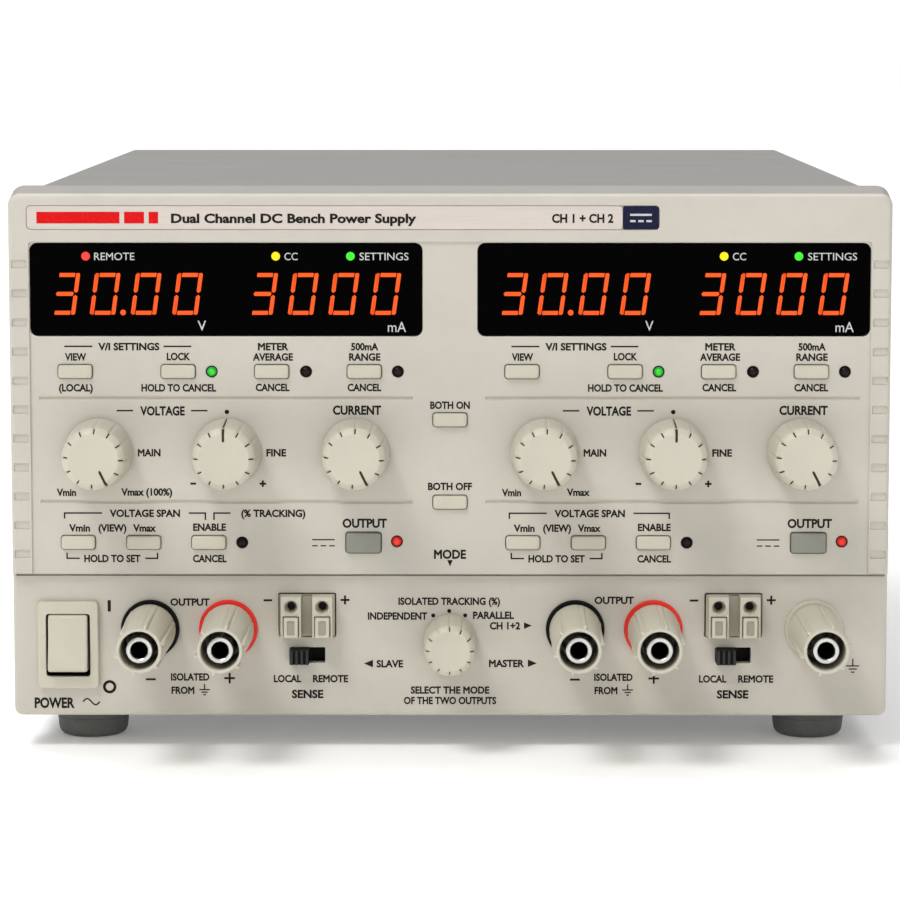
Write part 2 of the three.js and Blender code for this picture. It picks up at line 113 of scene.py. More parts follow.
def rounded(x_range, z_range, radius, steps=6, low_radius=None):
    """Points round a rectangle with round corners, from its top right corner."""
    x0, x1 = x_range
    z0, z1 = z_range
    low_radius = radius if low_radius is None else low_radius
    corners = [(x1, z1, radius, 0), (x0, z1, radius, 1), (x0, z0, low_radius, 2), (x1, z0, low_radius, 3)]
    points = []
    for x, z, bend, quarter in corners:
        cx = x - bend if x == x1 else x + bend
        cz = z - bend if z == z1 else z + bend
        for i in range(steps + 1):
            angle = (quarter + i / steps) * pi / 2
            points.append((cx + bend * cos(angle), cz + bend * sin(angle)))
    return points


def block(width, height, radius, steps=4, x=0, z=0):
    """A rounded rectangle about (x, z)."""
    return rounded((x - width / 2, x + width / 2), (z - height / 2, z + height / 2), radius, steps)


def bridge(bm, rings, closed=False, index=0):
    """Faces between rings of equal length, or of one vertex at a pole."""
    faces = []
    pairs = list(zip(rings, rings[1:]))
    if closed:
        pairs.append((rings[-1], rings[0]))
    for first, second in pairs:
        count = max(len(first), len(second))
        for i in range(count):
            j = (i + 1) % count
            corners = [
                first[i % len(first)], first[j % len(first)], second[j % len(second)],
                second[i % len(second)],
            ]
            unique = list(dict.fromkeys(corners))
            if len(unique) > 2:
                face = bm.faces.new(unique)
                face.material_index = index
                faces.append(face)
    return faces


def stack(bm, sections, index=0, axis="Y"):
    """A closed solid through a list of (place along the axis, outline)."""
    rings = []
    for along, outline in sections:
        if axis == "Y":
            rings.append([bm.verts.new((a, along, b)) for a, b in outline])
        elif axis == "X":
            rings.append([bm.verts.new((along, a, b)) for a, b in outline])
        else:
            rings.append([bm.verts.new((a, b, along)) for a, b in outline])
    bridge(bm, rings, index=index)
    for end in (rings[0], rings[-1]):
        bm.faces.new(end).material_index = index
    return rings


def cushioned(bm, depth, outline, edge, index=0):
    """A solid of one outline between two depths, with its front edge rounded by edge."""
    front, back = depth
    sections = [(back, outline(0))]
    for i in range(5):
        angle = i / 4 * pi / 2
        sections.append((front + edge * (1 - sin(angle)), outline(edge * (1 - cos(angle)))))
    stack(bm, sections, index)


def turned(bm, profile, centre, segments=64, wave=None, closed=False, index=0, axis="Y"):
    """A turned solid from (radius, place along the axis) points; angles run clockwise from the top."""
    cx, cz = centre
    rings = []
    for row, (radius, along) in enumerate(profile):
        ring = []
        for i in range(segments if radius > 0 else 1):
            angle = 2 * pi * i / segments
            r = radius + (wave(angle, row) if wave else 0)
            a, b = cx + r * sin(angle), cz + r * cos(angle)
            if axis == "Y":
                place = (a, along, b)
            elif axis == "Z":
                place = (a, b, along)
            else:
                place = (along, a, b)
            ring.append(bm.verts.new(place))
        rings.append(ring)
    return bridge(bm, rings, closed, index)


def solid_box(bm, x_range, y_range, z_range, index=0):
    (x0, x1), (z0, z1) = x_range, z_range
    outline = [(x0, z0), (x1, z0), (x1, z1), (x0, z1)]
    stack(bm, [(y_range[0], outline), (y_range[1], outline)], index)


def soft_box(bm, x_range, y_range, z_range, edge, index=0, segments=2):
    """A box with all its edges rounded."""
    size = Vector([r[1] - r[0] for r in (x_range, y_range, z_range)])
    centre = Vector([(r[1] + r[0]) / 2 for r in (x_range, y_range, z_range)])
    place = Matrix.Translation(centre) @ Matrix.Diagonal((*size, 1))
    made = bmesh.ops.create_cube(bm, size=1, matrix=place)
    edges = list({e for v in made["verts"] for e in v.link_edges})
    result = bmesh.ops.bevel(bm, geom=edges, offset=edge, segments=segments, profile=0.5, affect="EDGES")
    faces = {f for v in result["verts"] for f in v.link_faces}
    for face in faces:
        face.material_index = index


def around(centre, size):
    return centre - size / 2, centre + size / 2


def new_object(name, bm, materials):
    """An object from a mesh drawn in millimetres."""
    bmesh.ops.recalc_face_normals(bm, faces=bm.faces)
    bmesh.ops.scale(bm, vec=(MM, MM, MM), verts=bm.verts)
    mesh = bpy.data.meshes.new(name)
    bm.to_mesh(mesh)
    bm.free()
    for material in materials:
        mesh.materials.append(material)
    obj = bpy.data.objects.new(name, mesh)
    bpy.context.scene.collection.objects.link(obj)
    return obj


def settle(obj):
    """Turns an object's modifiers into its mesh."""
    bpy.context.view_layer.update()
    graph = bpy.context.evaluated_depsgraph_get()
    mesh = bpy.data.meshes.new_from_object(obj.evaluated_get(graph))
    old = obj.data
    obj.modifiers.clear()
    obj.data = mesh
    mesh.name = obj.name
    bpy.data.meshes.remove(old)


def carve(obj, cutter_bm, join=False):
    """Cuts the cutter's solids out of an object, or joins them to it."""
    cutter = new_object("cutter", cutter_bm, [])
    change = obj.modifiers.new("carve", "BOOLEAN")
    change.operation = "UNION" if join else "DIFFERENCE"
    change.solver = "EXACT"
    change.use_self = True
    change.object = cutter
    settle(obj)
    mesh = cutter.data
    bpy.data.objects.remove(cutter)
    bpy.data.meshes.remove(mesh)


def round_edges(obj, width, segments=2, angle=35):
    """Rounds the sharp edges of an object by a width in millimetres."""
    bevel = obj.modifiers.new("round", "BEVEL")
    bevel.width = width * MM
    bevel.segments = segments
    bevel.limit_method = "ANGLE"
    bevel.angle_limit = radians(angle)
    bevel.use_clamp_overlap = False
    bevel.harden_normals = True
    bevel.miter_outer = "MITER_ARC"
    settle(obj)


def place(obj, slot, body=CASE, nodes=(), crease=40):
    """Shades an object smooth up to a crease angle, hangs it from the body it rides on and hides the frame
    nodes it stands for.
    """
    obj.data.shade_smooth()
    obj.data.set_sharp_from_angle(angle=radians(crease))
    weigh = obj.modifiers.new("flat_faces", "WEIGHTED_NORMAL")
    weigh.keep_sharp = True
    settle(obj)
    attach(obj, body)
    if nodes:
        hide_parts(*nodes)
    return obj


def frame_copy(bm, node):
    """Adds a frame node's shape to a mesh, with its flat faces joined up."""
    part = bmesh.new()
    part.from_mesh(frame["nodes"][node].data)
    bmesh.ops.remove_doubles(part, verts=part.verts, dist=1e-6)
    bmesh.ops.dissolve_limit(part, angle_limit=radians(1), verts=part.verts, edges=part.edges)
    bmesh.ops.scale(part, vec=(1 / MM, 1 / MM, 1 / MM), verts=part.verts)
    mesh = bpy.data.meshes.new("copy")
    part.to_mesh(mesh)
    part.free()
    bm.from_mesh(mesh)
    bpy.data.meshes.remove(mesh)


# ---- Sizes and colours a user may change ----


def screen(red, green, blue):
    """Screen colour, 0 to 255, as the linear light that shaders use."""
    return tuple(
        ((c / 255 + 0.055) / 1.055) ** 2.4 if c > 10 else c / 255 / 12.92 for c in (red, green, blue)
    )


def colour_property(name, description, value):
    return FloatVectorProperty(
        name=name, description=description, subtype="COLOR", default=value, min=0, max=1
    )


class SupplyFinishes(bpy.types.PropertyGroup):
    """Colours of the materials."""

    bezel: colour_property("Moulding", "Warm light grey of the front moulding", screen(196, 191, 179))
    # Painted shade: a darker copy of the moulding grey for its up-facing sloping top, which is lit less than
    # the front.
    painted_top_shade: colour_property("Moulding top", "Grey of the moulding's sloping top", screen(151, 147, 142))
    cap: colour_property("Caps", "Cream of the knobs, keys and terminal caps", screen(197, 192, 175))
    output_key: colour_property("Output key", "Grey of the two output keys", screen(136, 137, 127))
    label: colour_property("Label", "Pale satin strip that carries the title", screen(203, 193, 184))
    accent: colour_property("Accent", "Red bar at the start of the title strip", screen(206, 8, 14))
    tab: colour_property("Tab", "Dark blue end of the title strip", screen(20, 22, 50))
    ink: colour_property("Legend ink", "Ink of the printed legends", screen(26, 23, 20))
    cover: colour_property("Cover paint", "Grey powder coat of the case", screen(130, 127, 124))
    rubber: colour_property("Feet", "Dark grey rubber of the feet", screen(92, 93, 90))
    digit: colour_property("Digits", "Orange light of the displayed digits", screen(255, 92, 34))
    green: colour_property("Green lamp", "Light of the green lamps", screen(70, 235, 60))
    yellow: colour_property("Yellow lamp", "Light of the yellow lamps", screen(255, 235, 30))
    red: colour_property("Red lamp", "Light of the red lamps", screen(255, 70, 60))


class SupplySizes(bpy.types.PropertyGroup):
    """Sizes that the frame leaves open, in millimetres."""

    moulding_edge: FloatProperty(
        name="Moulding edge",
        description="Rounding of the edges of the front moulding, in mm",
        default=0.22,
        min=0.05,
    )
    cover_edge: FloatProperty(
        name="Cover edge",
        description="Rounding of the cut edges of the sheet metal, in mm",
        default=0.2,
        min=0.05,
    )
    notches: IntProperty(
        name="Knob notches", description="Notches round the rim of each knob", default=12, min=3
    )
    ribs: IntProperty(name="Cap ribs", description="Ribs along each terminal cap", default=6, min=3)
    digit_height: FloatProperty(
        name="Digit height", description="Height of the displayed digits, in mm", default=10.1, min=5
    )
    digit_lean: FloatProperty(
        name="Digit lean", description="Slant of the displayed digits", subtype="ANGLE", default=radians(8)
    )
    ink_thickness: FloatProperty(
        name="Ink thickness",
        description="Height of the printed ink over the surface, in mm",
        default=0.03,
        min=0.01,
    )


class SupplyStage(bpy.types.PropertyGroup):
    """Camera, lights and floor."""

    camera_distance: FloatProperty(
        name="Camera distance", description="From the front plane", subtype="DISTANCE", default=0.902
    )
    lens: FloatProperty(name="Lens", description="Focal length in millimetres", unit="CAMERA", default=150.0)
    surround: FloatProperty(
        name="Surround", description="Strength of the even surrounding light", default=0.45
    )
    top_strength: FloatProperty(
        name="Top light", description="Soft light from above and behind", default=1.68
    )
    key_power: FloatProperty(
        name="Key light", description="Light from the upper left", unit="POWER", default=27
    )
    front_power: FloatProperty(
        name="Front light", description="Broad light from the front", unit="POWER", default=8
    )
    room: FloatProperty(name="Room", description="Radius of the floor", subtype="DISTANCE", default=12)
    floor: colour_property("Floor", "Pale floor", screen(252, 252, 252))


# ---- Materials ----


class Finish:
    """A procedural material: one Principled shader and the nodes that feed it."""

    def __init__(self, name, colour, roughness, **sockets):
        self.material = bpy.data.materials.new(name)
        self.material.use_nodes = True
        self.tree = self.material.node_tree
        self.shader = self.tree.nodes["Principled BSDF"]
        self.set(self.shader, base_color=(*colour, 1), roughness=roughness, **sockets)
        self.colour = colour
        self.place = self.tree.nodes.new("ShaderNodeTexCoord").outputs["Object"]
        self.normal = None

    @staticmethod
    def set(node, **values):
        for name, value in values.items():
            node.inputs[name.replace("_", " ").title().replace("Ior", "IOR")].default_value = value

    def node(self, kind, **inputs):
        node = self.tree.nodes.new(kind)
        for name, value in inputs.items():
            socket = node.inputs[int(name[1:])] if name[1:].isdigit() else node.inputs[
                name.replace("_", " ").title()
            ]
            if isinstance(value, bpy.types.NodeSocket):
                self.tree.links.new(value, socket)
            else:
                socket.default_value = value
        return node

    def noise(self, scale, detail=3.0, roughness=0.55, stretch=(1, 1, 1)):
        """Even noise with a scale in features per metre."""
        stretched = self.node("ShaderNodeMapping", vector=self.place, scale=stretch)
        made = self.node(
            "ShaderNodeTexNoise", vector=stretched.outputs[
                0
            ], scale=scale, detail=detail, roughness=roughness
        )
        return made.outputs[0]

    def spread(self, value, low, high, to_low=0.0, to_high=1.0):
        """Maps a value from one range to another, clamped."""
        made = self.node("ShaderNodeMapRange", i0=value, i1=low, i2=high, i3=to_low, i4=to_high)
        return made.outputs[0]

    def tint(self, mask, colour, strength=1.0):
        """Blends another colour over the base colour where the mask is high."""
        mix = self.tree.nodes.new("ShaderNodeMix")
        mix.data_type = "RGBA"
        socket = self.shader.inputs["Base Color"]
        if socket.is_linked:
            self.tree.links.new(socket.links[0].from_socket, mix.inputs[6])
        else:
            mix.inputs[6].default_value = socket.default_value
        mix.inputs[7].default_value = (*colour, 1)
        weight = self.spread(mask, 0, 1, 0, strength)
        self.tree.links.new(weight, mix.inputs[0])
        self.tree.links.new(mix.outputs[2], socket)
        return self

    def vary_roughness(self, mask, low, high):
        self.tree.links.new(self.spread(mask, 0, 1, low, high), self.shader.inputs["Roughness"])
        return self

    def bump(self, height, strength, distance):
        """Adds relief with a depth in millimetres."""
        node = self.node("ShaderNodeBump", strength=strength, distance=distance * MM, height=height)
        if self.normal:
            self.tree.links.new(self.normal, node.inputs["Normal"])
        self.normal = node.outputs[0]
        self.tree.links.new(self.normal, self.shader.inputs["Normal"])
        return self


def darker(colour, factor):
    return tuple(c * factor for c in colour)


def moulded(name, colour, roughness=0.5, grain=0.02, specular=0.4):
    """Moulded plastic: spark texture, slow flow marks and faint handling dirt."""
    made = Finish(name, colour, roughness, specular_ior_level=specular)
    cloud = made.noise(45, 4, 0.6)
    grime = made.spread(made.noise(210, 5, 0.7), 0.5, 0.72)
    fine = made.noise(3200, 2, 0.5)
    made.tint(made.spread(cloud, 0.35, 0.7), darker(colour, 0.93), 0.8)
    made.tint(grime, darker(colour, 0.86), 0.25)
    made.vary_roughness(made.spread(cloud, 0.3, 0.7), roughness - 0.06, roughness + 0.06)
    made.bump(fine, 0.35, grain)
    return made


def bezel_plastic(finishes):
    return moulded("moulded_grey_plastic", finishes.bezel[:], 0.55, 0.03, 0.35)


def cap_plastic(finishes):
    return moulded("moulded_cream_plastic", finishes.cap[:], 0.4, 0.008, 0.45)


def key_plastic(finishes):
    return moulded("output_key_plastic", finishes.output_key[:], 0.42, 0.008, 0.45)


def label_film(finishes):
    """Satin film with a very fine brushed sheen."""
    made = Finish("label_film", finishes.label[:], 0.38, specular_ior_level=0.5)
    streaks = made.noise(900, 3, 0.6, (0.05, 1, 1.5))
    made.tint(made.spread(streaks, 0.4, 0.62), darker(finishes.label, 0.95))
    made.vary_roughness(streaks, 0.32, 0.48)
    made.bump(streaks, 0.12, 0.01)
    return made


def printed(name, colour, roughness=0.5):
    """Printed ink with a slightly uneven density."""
    made = Finish(name, colour, roughness, specular_ior_level=0.12)
    density = made.noise(1500, 3, 0.6)
    made.tint(made.spread(density, 0.5, 0.75), tuple(min(1, c * 1.5 + 0.01) for c in colour), 0.5)
    made.bump(density, 0.2, 0.01)
    return made


def window_acrylic():
    """Polished dark filter with a faint haze of fine wiping marks."""
    made = Finish("window_acrylic", (0.0009, 0.0008, 0.0008), 0.1, specular_ior_level=0.006)
    smears = made.noise(120, 5, 0.65, (1, 1, 2.6))
    made.vary_roughness(made.spread(smears, 0.35, 0.75), 0.06, 0.2)
    made.bump(made.noise(30, 1, 0.4), 0.05, 0.02)
    return made


def glowing(name, colour, strength, mottle=0.15):
    """A lit lamp or display segment, a little uneven across its diffuser."""
    made = Finish(name, darker(colour, 0.25), 0.35, specular_ior_level=0.1,
                  emission_strength=strength, emission_color=(*colour, 1))
    uneven = made.spread(made.noise(1100, 3, 0.5), 0.35, 0.7)
    made.vary_roughness(uneven, 0.3, 0.45)
    mix = made.tree.nodes.new("ShaderNodeMix")
    mix.data_type = "RGBA"
    mix.inputs[6].default_value = (*colour, 1)
    mix.inputs[7].default_value = (*darker(colour, 1 - mottle), 1)
    made.tree.links.new(uneven, mix.inputs[0])
    made.tree.links.new(mix.outputs[2], made.shader.inputs["Emission Color"])
    return made


def dark_lens():
    made = Finish("dark_lens", (0.004, 0.002, 0.002), 0.2, specular_ior_level=0.16)
    made.tint(made.spread(made.noise(800, 2, 0.5), 0.4, 0.7), (0.009, 0.003, 0.002))
    made.bump(made.noise(500, 2, 0.5), 0.1, 0.02)
    return made


def black_plastic(name="black_plastic", roughness=0.38):
    made = Finish(name, (0.004, 0.004, 0.0042), roughness, specular_ior_level=0.07)
    cloud = made.noise(150, 4, 0.6)
    made.tint(made.spread(cloud, 0.4, 0.7), (0.008, 0.008, 0.0082))
    made.vary_roughness(cloud, roughness - 0.08, roughness + 0.12)
    made.bump(made.noise(2800, 2, 0.5), 0.3, 0.012)
    return made


def red_plastic():
    return moulded("red_collar_plastic", screen(232, 40, 22), 0.36, 0.006, 0.3)


def powder_coat(finishes):
    """Powder-coated steel: orange-peel skin, fine speckle and slow shade changes."""
    colour = finishes.cover[:]
    made = Finish("powder_coat", colour, 0.5, specular_ior_level=0.42)
    peel = made.noise(1500, 2, 0.4)
    speckle = made.spread(made.noise(5200, 2, 0.6), 0.56, 0.7)
    cloud = made.noise(14, 3, 0.5)
    made.tint(made.spread(cloud, 0.3, 0.75), darker(colour, 0.975))
    made.tint(speckle, darker(colour, 0.86), 0.5)
    made.vary_roughness(made.spread(cloud, 0.3, 0.7), 0.46, 0.58)
    made.bump(peel, 0.4, 0.05)
    return made


def zinc_plate():
    """Zinc-plated sheet with rolling marks and a faint passivation cloud."""
    made = Finish("zinc_plate", (0.62, 0.62, 0.6), 0.36, metallic=1.0)
    rolled = made.noise(500, 4, 0.6, (1, 0.03, 1))
    cloud = made.spread(made.noise(22, 4, 0.6), 0.4, 0.7)
    made.tint(cloud, (0.5, 0.52, 0.5))
    made.tint(made.spread(rolled, 0.45, 0.65), (0.7, 0.7, 0.69), 0.5)
    made.vary_roughness(rolled, 0.28, 0.46)
    made.bump(rolled, 0.15, 0.02)
    return made


def nickel(name="nickel_plate", colour=(0.58, 0.57, 0.54), roughness=0.26):
    """Nickel plate over turned brass, with fine tool rings."""
    made = Finish(name, colour, roughness, metallic=1.0)
    wear = made.noise(600, 4, 0.6)
    made.tint(made.spread(wear, 0.45, 0.75), darker(colour, 0.85))
    made.vary_roughness(wear, roughness - 0.06, roughness + 0.12)
    made.bump(made.noise(2600, 2, 0.5, (1, 0.1, 1)), 0.15, 0.006)
    return made


def screw_steel():
    return nickel("screw_steel", (0.55, 0.55, 0.54), 0.3)


def anodised():
    """Black anodised extrusion with drawing lines along the fins."""
    made = Finish("black_anodised", (0.018, 0.018, 0.02), 0.42, metallic=0.6, specular_ior_level=0.5)
    drawn = made.noise(900, 4, 0.6, (1, 1, 0.03))
    made.tint(made.spread(drawn, 0.4, 0.7), (0.035, 0.035, 0.038))
    made.vary_roughness(drawn, 0.34, 0.55)
    made.bump(drawn, 0.25, 0.02)
    return made


def foot_rubber(finishes):
    colour = finishes.rubber[:]
    made = Finish("foot_rubber", colour, 0.72, specular_ior_level=0.3)
    dust = made.spread(made.noise(380, 5, 0.7), 0.48, 0.75)
    made.tint(dust, tuple(c * 1.35 for c in colour), 0.5)
    made.bump(made.noise(1800, 3, 0.6), 0.35, 0.03)
    return made


def circuit_board():
    """Green solder mask with paler tracks under it."""
    made = Finish("circuit_board", (0.012, 0.09, 0.035), 0.32, specular_ior_level=0.5)
    tracks = made.tree.nodes.new("ShaderNodeTexBrick")
    turned_place = made.node("ShaderNodeMapping", vector=made.place, rotation=(pi / 2, 0, 0))
    made.tree.links.new(turned_place.outputs[0], tracks.inputs["Vector"])
    tracks.inputs["Scale"].default_value = 160
    tracks.inputs["Mortar Size"].default_value = 0.012
    made.tint(made.spread(tracks.outputs[1], 0, 1), (0.03, 0.17, 0.07))
    made.bump(made.noise(900, 2, 0.5), 0.15, 0.02)
    return made


def winding_tape():
    """Amber film wound round the transformer, in overlapping turns."""
    made = Finish("winding_tape", (0.55, 0.3, 0.06), 0.3, specular_ior_level=0.5, coat_weight=0.3)
    turns = made.noise(260, 3, 0.6, (1, 1, 0.15))
    made.tint(made.spread(turns, 0.4, 0.65), (0.34, 0.16, 0.03))
    made.vary_roughness(turns, 0.22, 0.4)
    made.bump(turns, 0.5, 0.2)
    return made


def recess_shade_cream():
    """Painted shade: a darker copy of the cream for the recessed faces of the sense blocks and levers."""
    return moulded("sense_recess_painted_shade", screen(158, 154, 138), 0.5, 0.01, 0.3)


# ---- Front moulding ----


def key_hole(node):
    """Width and height of a key in front of the panel."""
    size = extent(node)
    return size.x - KEY_FLANGE, size.z - KEY_FLANGE


def moulding_body():
    """The upper block with its rounded, sloping top, and the terminal area set back below it."""
    half = BEZEL_HIGH.x
    top = BEZEL_HIGH.z
    back = BEZEL_HIGH.y
    upper = bmesh.new()
    # Each row is: depth behind the front plane, inset at the sides, drop at the top, rise at the bottom.
    rows = [
        (0, 1.15, 3.45, 0.55),
        (0.1, 0.75, 2.85, 0.3),
        (0.4, 0.35, 2.2, 0.1),
        (0.9, 0.1, 1.75, 0),
        (1.7, 0, 1.5, 0),
        (8.8, 0, 0.12, 0),
        (9.6, 0, 0, 0),
    ]
    sections = [
        (FRONT + y, rounded((inset - half, half - inset), (STEP_Z + rise, top - drop), 2.8, 8, 0.3))
        for y, inset, drop, rise in rows
    ]
    sections.append((back, sections[-1][1]))
    stack(upper, sections)
    body = new_object("front_moulding", upper, [])
    lower = bmesh.new()
    bottom = BEZEL_LOW.z

    def outline(inset):
        return rounded((inset - half, half - inset), (bottom + inset, STEP_Z + 6), 2, 6, 1.9)

    sections = [
        (TERMINAL + 0.9 * (1 - sin(a)), outline(0.9 * (1 - cos(a)))) for a in (0, 0.4, 0.8, 1.2, pi / 2)
    ]
    stack(lower, [(back, outline(0))] + sections)
    carve(body, lower, join=True)
    return body


def opening(bm, outline, front, back, edge):
    """Adds a cutter for an opening whose mouth, on the plane y = front, has a rounded edge."""
    rows = [(front - 1, outline(-edge))]
    for angle in (0, pi / 8, pi / 4, pi * 3 / 8, pi / 2):
        rows.append((front + edge * (1 - cos(angle)), outline(-edge * (1 - sin(angle)))))
    rows.append((back, outline(0)))
    stack(bm, rows)


def slot_outline(width, height, radius, x, z):
    """A rounded slot as a function of its inset, for a cutter that widens at its mouth."""
    return lambda inset: block(width - 2 * inset, height - 2 * inset, max(0.03, radius - inset), 5, x, z)


def moulding_cutters(edge):
    """Everything that is cut out of the front moulding."""
    bm = bmesh.new()
    half = BEZEL_HIGH.x
    inner = half - WALL
    behind = BEZEL_HIGH.y + 1
    through = (FRONT - 2, behind)
    solid_box(bm, (-inner, inner), (PANEL + WALL, behind), (STEP_Z, BEZEL_HIGH.z - 4))
    solid_box(bm, (-inner, inner), (TERMINAL + WALL, behind), (BEZEL_LOW.z + WALL, STEP_Z + 1))
    # The control panel is set back a little inside the finger-grip strips.
    opening(bm, slot_outline(203, 86, 0.6, 0, 81), FRONT, PANEL, edge * 0.6)
    opening(bm, slot_outline(152.4, 5.9, 1.1, -25.8, 129.8), FRONT, FRONT + 0.4, edge * 0.6)
    for side in (-1, 1):
        for i in range(11):
            opening(bm, slot_outline(3.7, 1.9, 0.35, side * 103.9, 118.6 - i * 7.05), FRONT, PANEL, edge)
    for low, high in ((-99.5, -8.9), (8.5, 99.2)):
        for z in (86.1, 60.9):
            mouth = slot_outline(high - low, 1.1, 0.2, (low + high) / 2, z)
            stack(bm, [(PANEL - 1, mouth(0)), (PANEL, mouth(0)), (PANEL + 0.55, mouth(0.5))])
    # A narrow gap runs under the step.
    solid_box(bm, (0.8 - half, half - 0.8), (TERMINAL - 1, TERMINAL + 1), (STEP_Z - 0.6, STEP_Z + 0.1))
    for number, x in CHANNELS.items():
        window = f"display_window_{number}"
        size = extent(window)
        outline = slot_outline(size.x + 0.5, size.z + 0.5, 1.9, x, middle(window).z)
        opening(bm, outline, PANEL, behind, 0.16)
        for offset, z, _ in LAMPS:
            opening(bm, slot_outline(2.9, 2.9, 1.44, x + offset, z), PANEL, behind, edge * 0.8)
    for node in KEYS:
        width, height = key_hole(node)
        centre = middle(node)
        opening(
            bm, slot_outline(width + 0.1, height + 0.1, 0.8, centre.x, centre.z), PANEL, behind, edge * 0.7
        )
    holes = [(node, 3.6) for node in KNOBS + ["mode_knob"]]
    holes += [(f"terminal_post_{post}", 4.32) for post in POSTS]
    for node, radius in holes:
        centre = middle(node)
        turned(
            bm, [(0, through[0]), (radius, through[0]), (radius, behind), (0, behind)], (centre.x, centre.z),
            32,
        )
    for number in CHANNELS:
        centre, size = middle(f"sense_terminal_{number}"), extent(f"sense_terminal_{number}")
        outline = slot_outline(size.x + 2 * GAP, size.z + 2 * GAP, 0.4, centre.x, centre.z)
        opening(bm, outline, TERMINAL, behind, edge)
        slider_z = middle(f"sense_slider_{number}").z
        opening(bm, slot_outline(8.6, 3.8, 0.3, centre.x, slider_z), TERMINAL, behind, edge)
    centre = middle("power_switch_housing")
    stack(bm, [(y, block(13.2, 19.2, 0.4, 3, centre.x, centre.z)) for y in through])
    return bm


def build_moulding(finishes, sizes):
    body = moulding_body()
    carve(body, moulding_cutters(sizes.moulding_edge))
    body.data.materials.clear()
    body.data.materials.append(bezel_plastic(finishes).material)
    body.data.materials.append(
        moulded("moulding_top_painted_shade", finishes.painted_top_shade[:], 0.55, 0.03, 0.35).material
    )
    # The sloping top, behind the rounded front edge, takes a darker neutral grey: painted shade for an
    # up-facing surface that is lit less than the front.
    for polygon in body.data.polygons:
        centre = polygon.center / MM
        if polygon.normal.z > 0.5 and centre.z > 134 and centre.y > FRONT + 1.7:
            polygon.material_index = 1
    place(body, "bezel_plastic", nodes=["front_bezel"])


def build_title(finishes):
    """The title strip in its recess, with its dark end."""
    bm = bmesh.new()
    front = FRONT + 0.1
    back = FRONT + 0.38
    bottom, top = 127.0, 132.6
    left, split, right = -101.85, 41.5, 50.25

    def strip(low, high, radius_left):
        return lambda inset: rounded(
            (low + inset, high - inset), (bottom + inset, top - inset), radius_left
        )

    cushioned(bm, (front, back), strip(left, split, 1.0), 0.08, 0)
    cushioned(bm, (front, back), strip(41.6, right, 0.3), 0.08, 1)
    materials = [label_film(finishes).material, printed("tab_ink", finishes.tab[:]).material]
    place(new_object("title_strip", bm, materials), "bezel_plastic")


# ---- Displays ----

SEGMENTS = {"3": "abgcd", "0": "abcdef", "8": "abcdefg"}
DIGITS = [
    (-38.9, "3"), (-29.2, "0"), (-19.3, "0"), (-9.3, "0"), (8.8, "3"), (18.6, "0"), (28.4, "0"), (38.5, "0")
]
DIGIT_Z = 111.4
POINT = (-24.9, 106.9)


def segment_outlines(height, width, thick):
    """The seven bars of a digit, as outlines about its middle."""
    h, w, t = height / 2, width / 2, thick / 2
    slit = 0.25

    def flat(z, tip):
        low, high = -w + 2 * t + slit, w - 2 * t - slit
        return [(low - tip, z), (low, z + t), (high, z + t), (high + tip, z), (high, z - t), (low, z - t)]

    def upright(side, level):
        """A side bar: square at the outer corner, pointed at the middle of the digit."""
        x = side * (w - t)
        near, far = level * slit, level * h
        shoulder = near + level * t * 0.8
        corner = far - level * t * 0.7
        return [(x - t, shoulder), (x, near), (x + t, shoulder), (x + t, corner),
                (x + side * t * 0.4, far), (x - side * t, far - level * 0.1), (x - t, corner)]

    return {
        "a": flat(h - t, 0.04),
        "g": flat(0, 0.3),
        "d": flat(t - h, 0.04),
        "b": upright(1, 1),
        "c": upright(1, -1),
        "e": upright(-1, -1),
        "f": upright(-1, 1),
    }


def build_display(number, finishes, sizes):
    """One window with its digits and lamps."""
    window = f"display_window_{number}"
    centre, size = middle(window), extent(window)
    low, high = limits(window)
    bm = bmesh.new()

    def outline(inset):
        return block(size.x - 2 * inset, size.z - 2 * inset, 1.7, 6, centre.x, centre.z)

    cushioned(bm, (low.y, high.y), outline, 0.25)
    pane = new_object(f"window_pane_{number}", bm, [window_acrylic().material])
    place(pane, "window_acrylic", nodes=[window])

    digit_width, stroke = 6.15, 0.96
    point_radius, lamp_height = 0.68, 120.5
    lit = bmesh.new()
    skin = (low.y - 0.03, low.y + 0.1)
    bars = segment_outlines(sizes.digit_height, digit_width, stroke)
    lean = sin(sizes.digit_lean)
    for offset, shown in DIGITS:
        for name in SEGMENTS[shown]:
            outline = [(centre.x + offset + x + z * lean, DIGIT_Z + z) for x, z in bars[name]]
            stack(lit, [(y, outline) for y in skin])
    x, z = centre.x + POINT[0], POINT[1]
    turned(lit, [(0, skin[0]), (point_radius, skin[0]), (point_radius, skin[1]), (0, skin[1])], (x, z), 24)
    digits = new_object(
        f"display_digits_{number}", lit, [glowing("digit_light", finishes.digit[:], 0.95).material]
    )
    place(digits, "window_acrylic")

    lamps = [(12.0, finishes.yellow, "yellow"), (30.0, finishes.green, "green")]
    if number == 1:
        lamps.append((-33.8, finishes.red, "red"))
    for offset, colour, name in lamps:
        dot = bmesh.new()
        profile = [
            (0, skin[0] - 0.05), (0.6, skin[0] - 0.03), (1.05, skin[0]), (1.05, skin[1]), (0, skin[1])
        ]
        turned(dot, profile, (centre.x + offset, lamp_height), 24)
        lamp = new_object(
            f"display_lamp_{name}_{number}", dot, [glowing(f"{name}_light", colour[:], 0.9).material]
        )
        place(lamp, "window_acrylic")


# ---- Lamps beside the keys ----


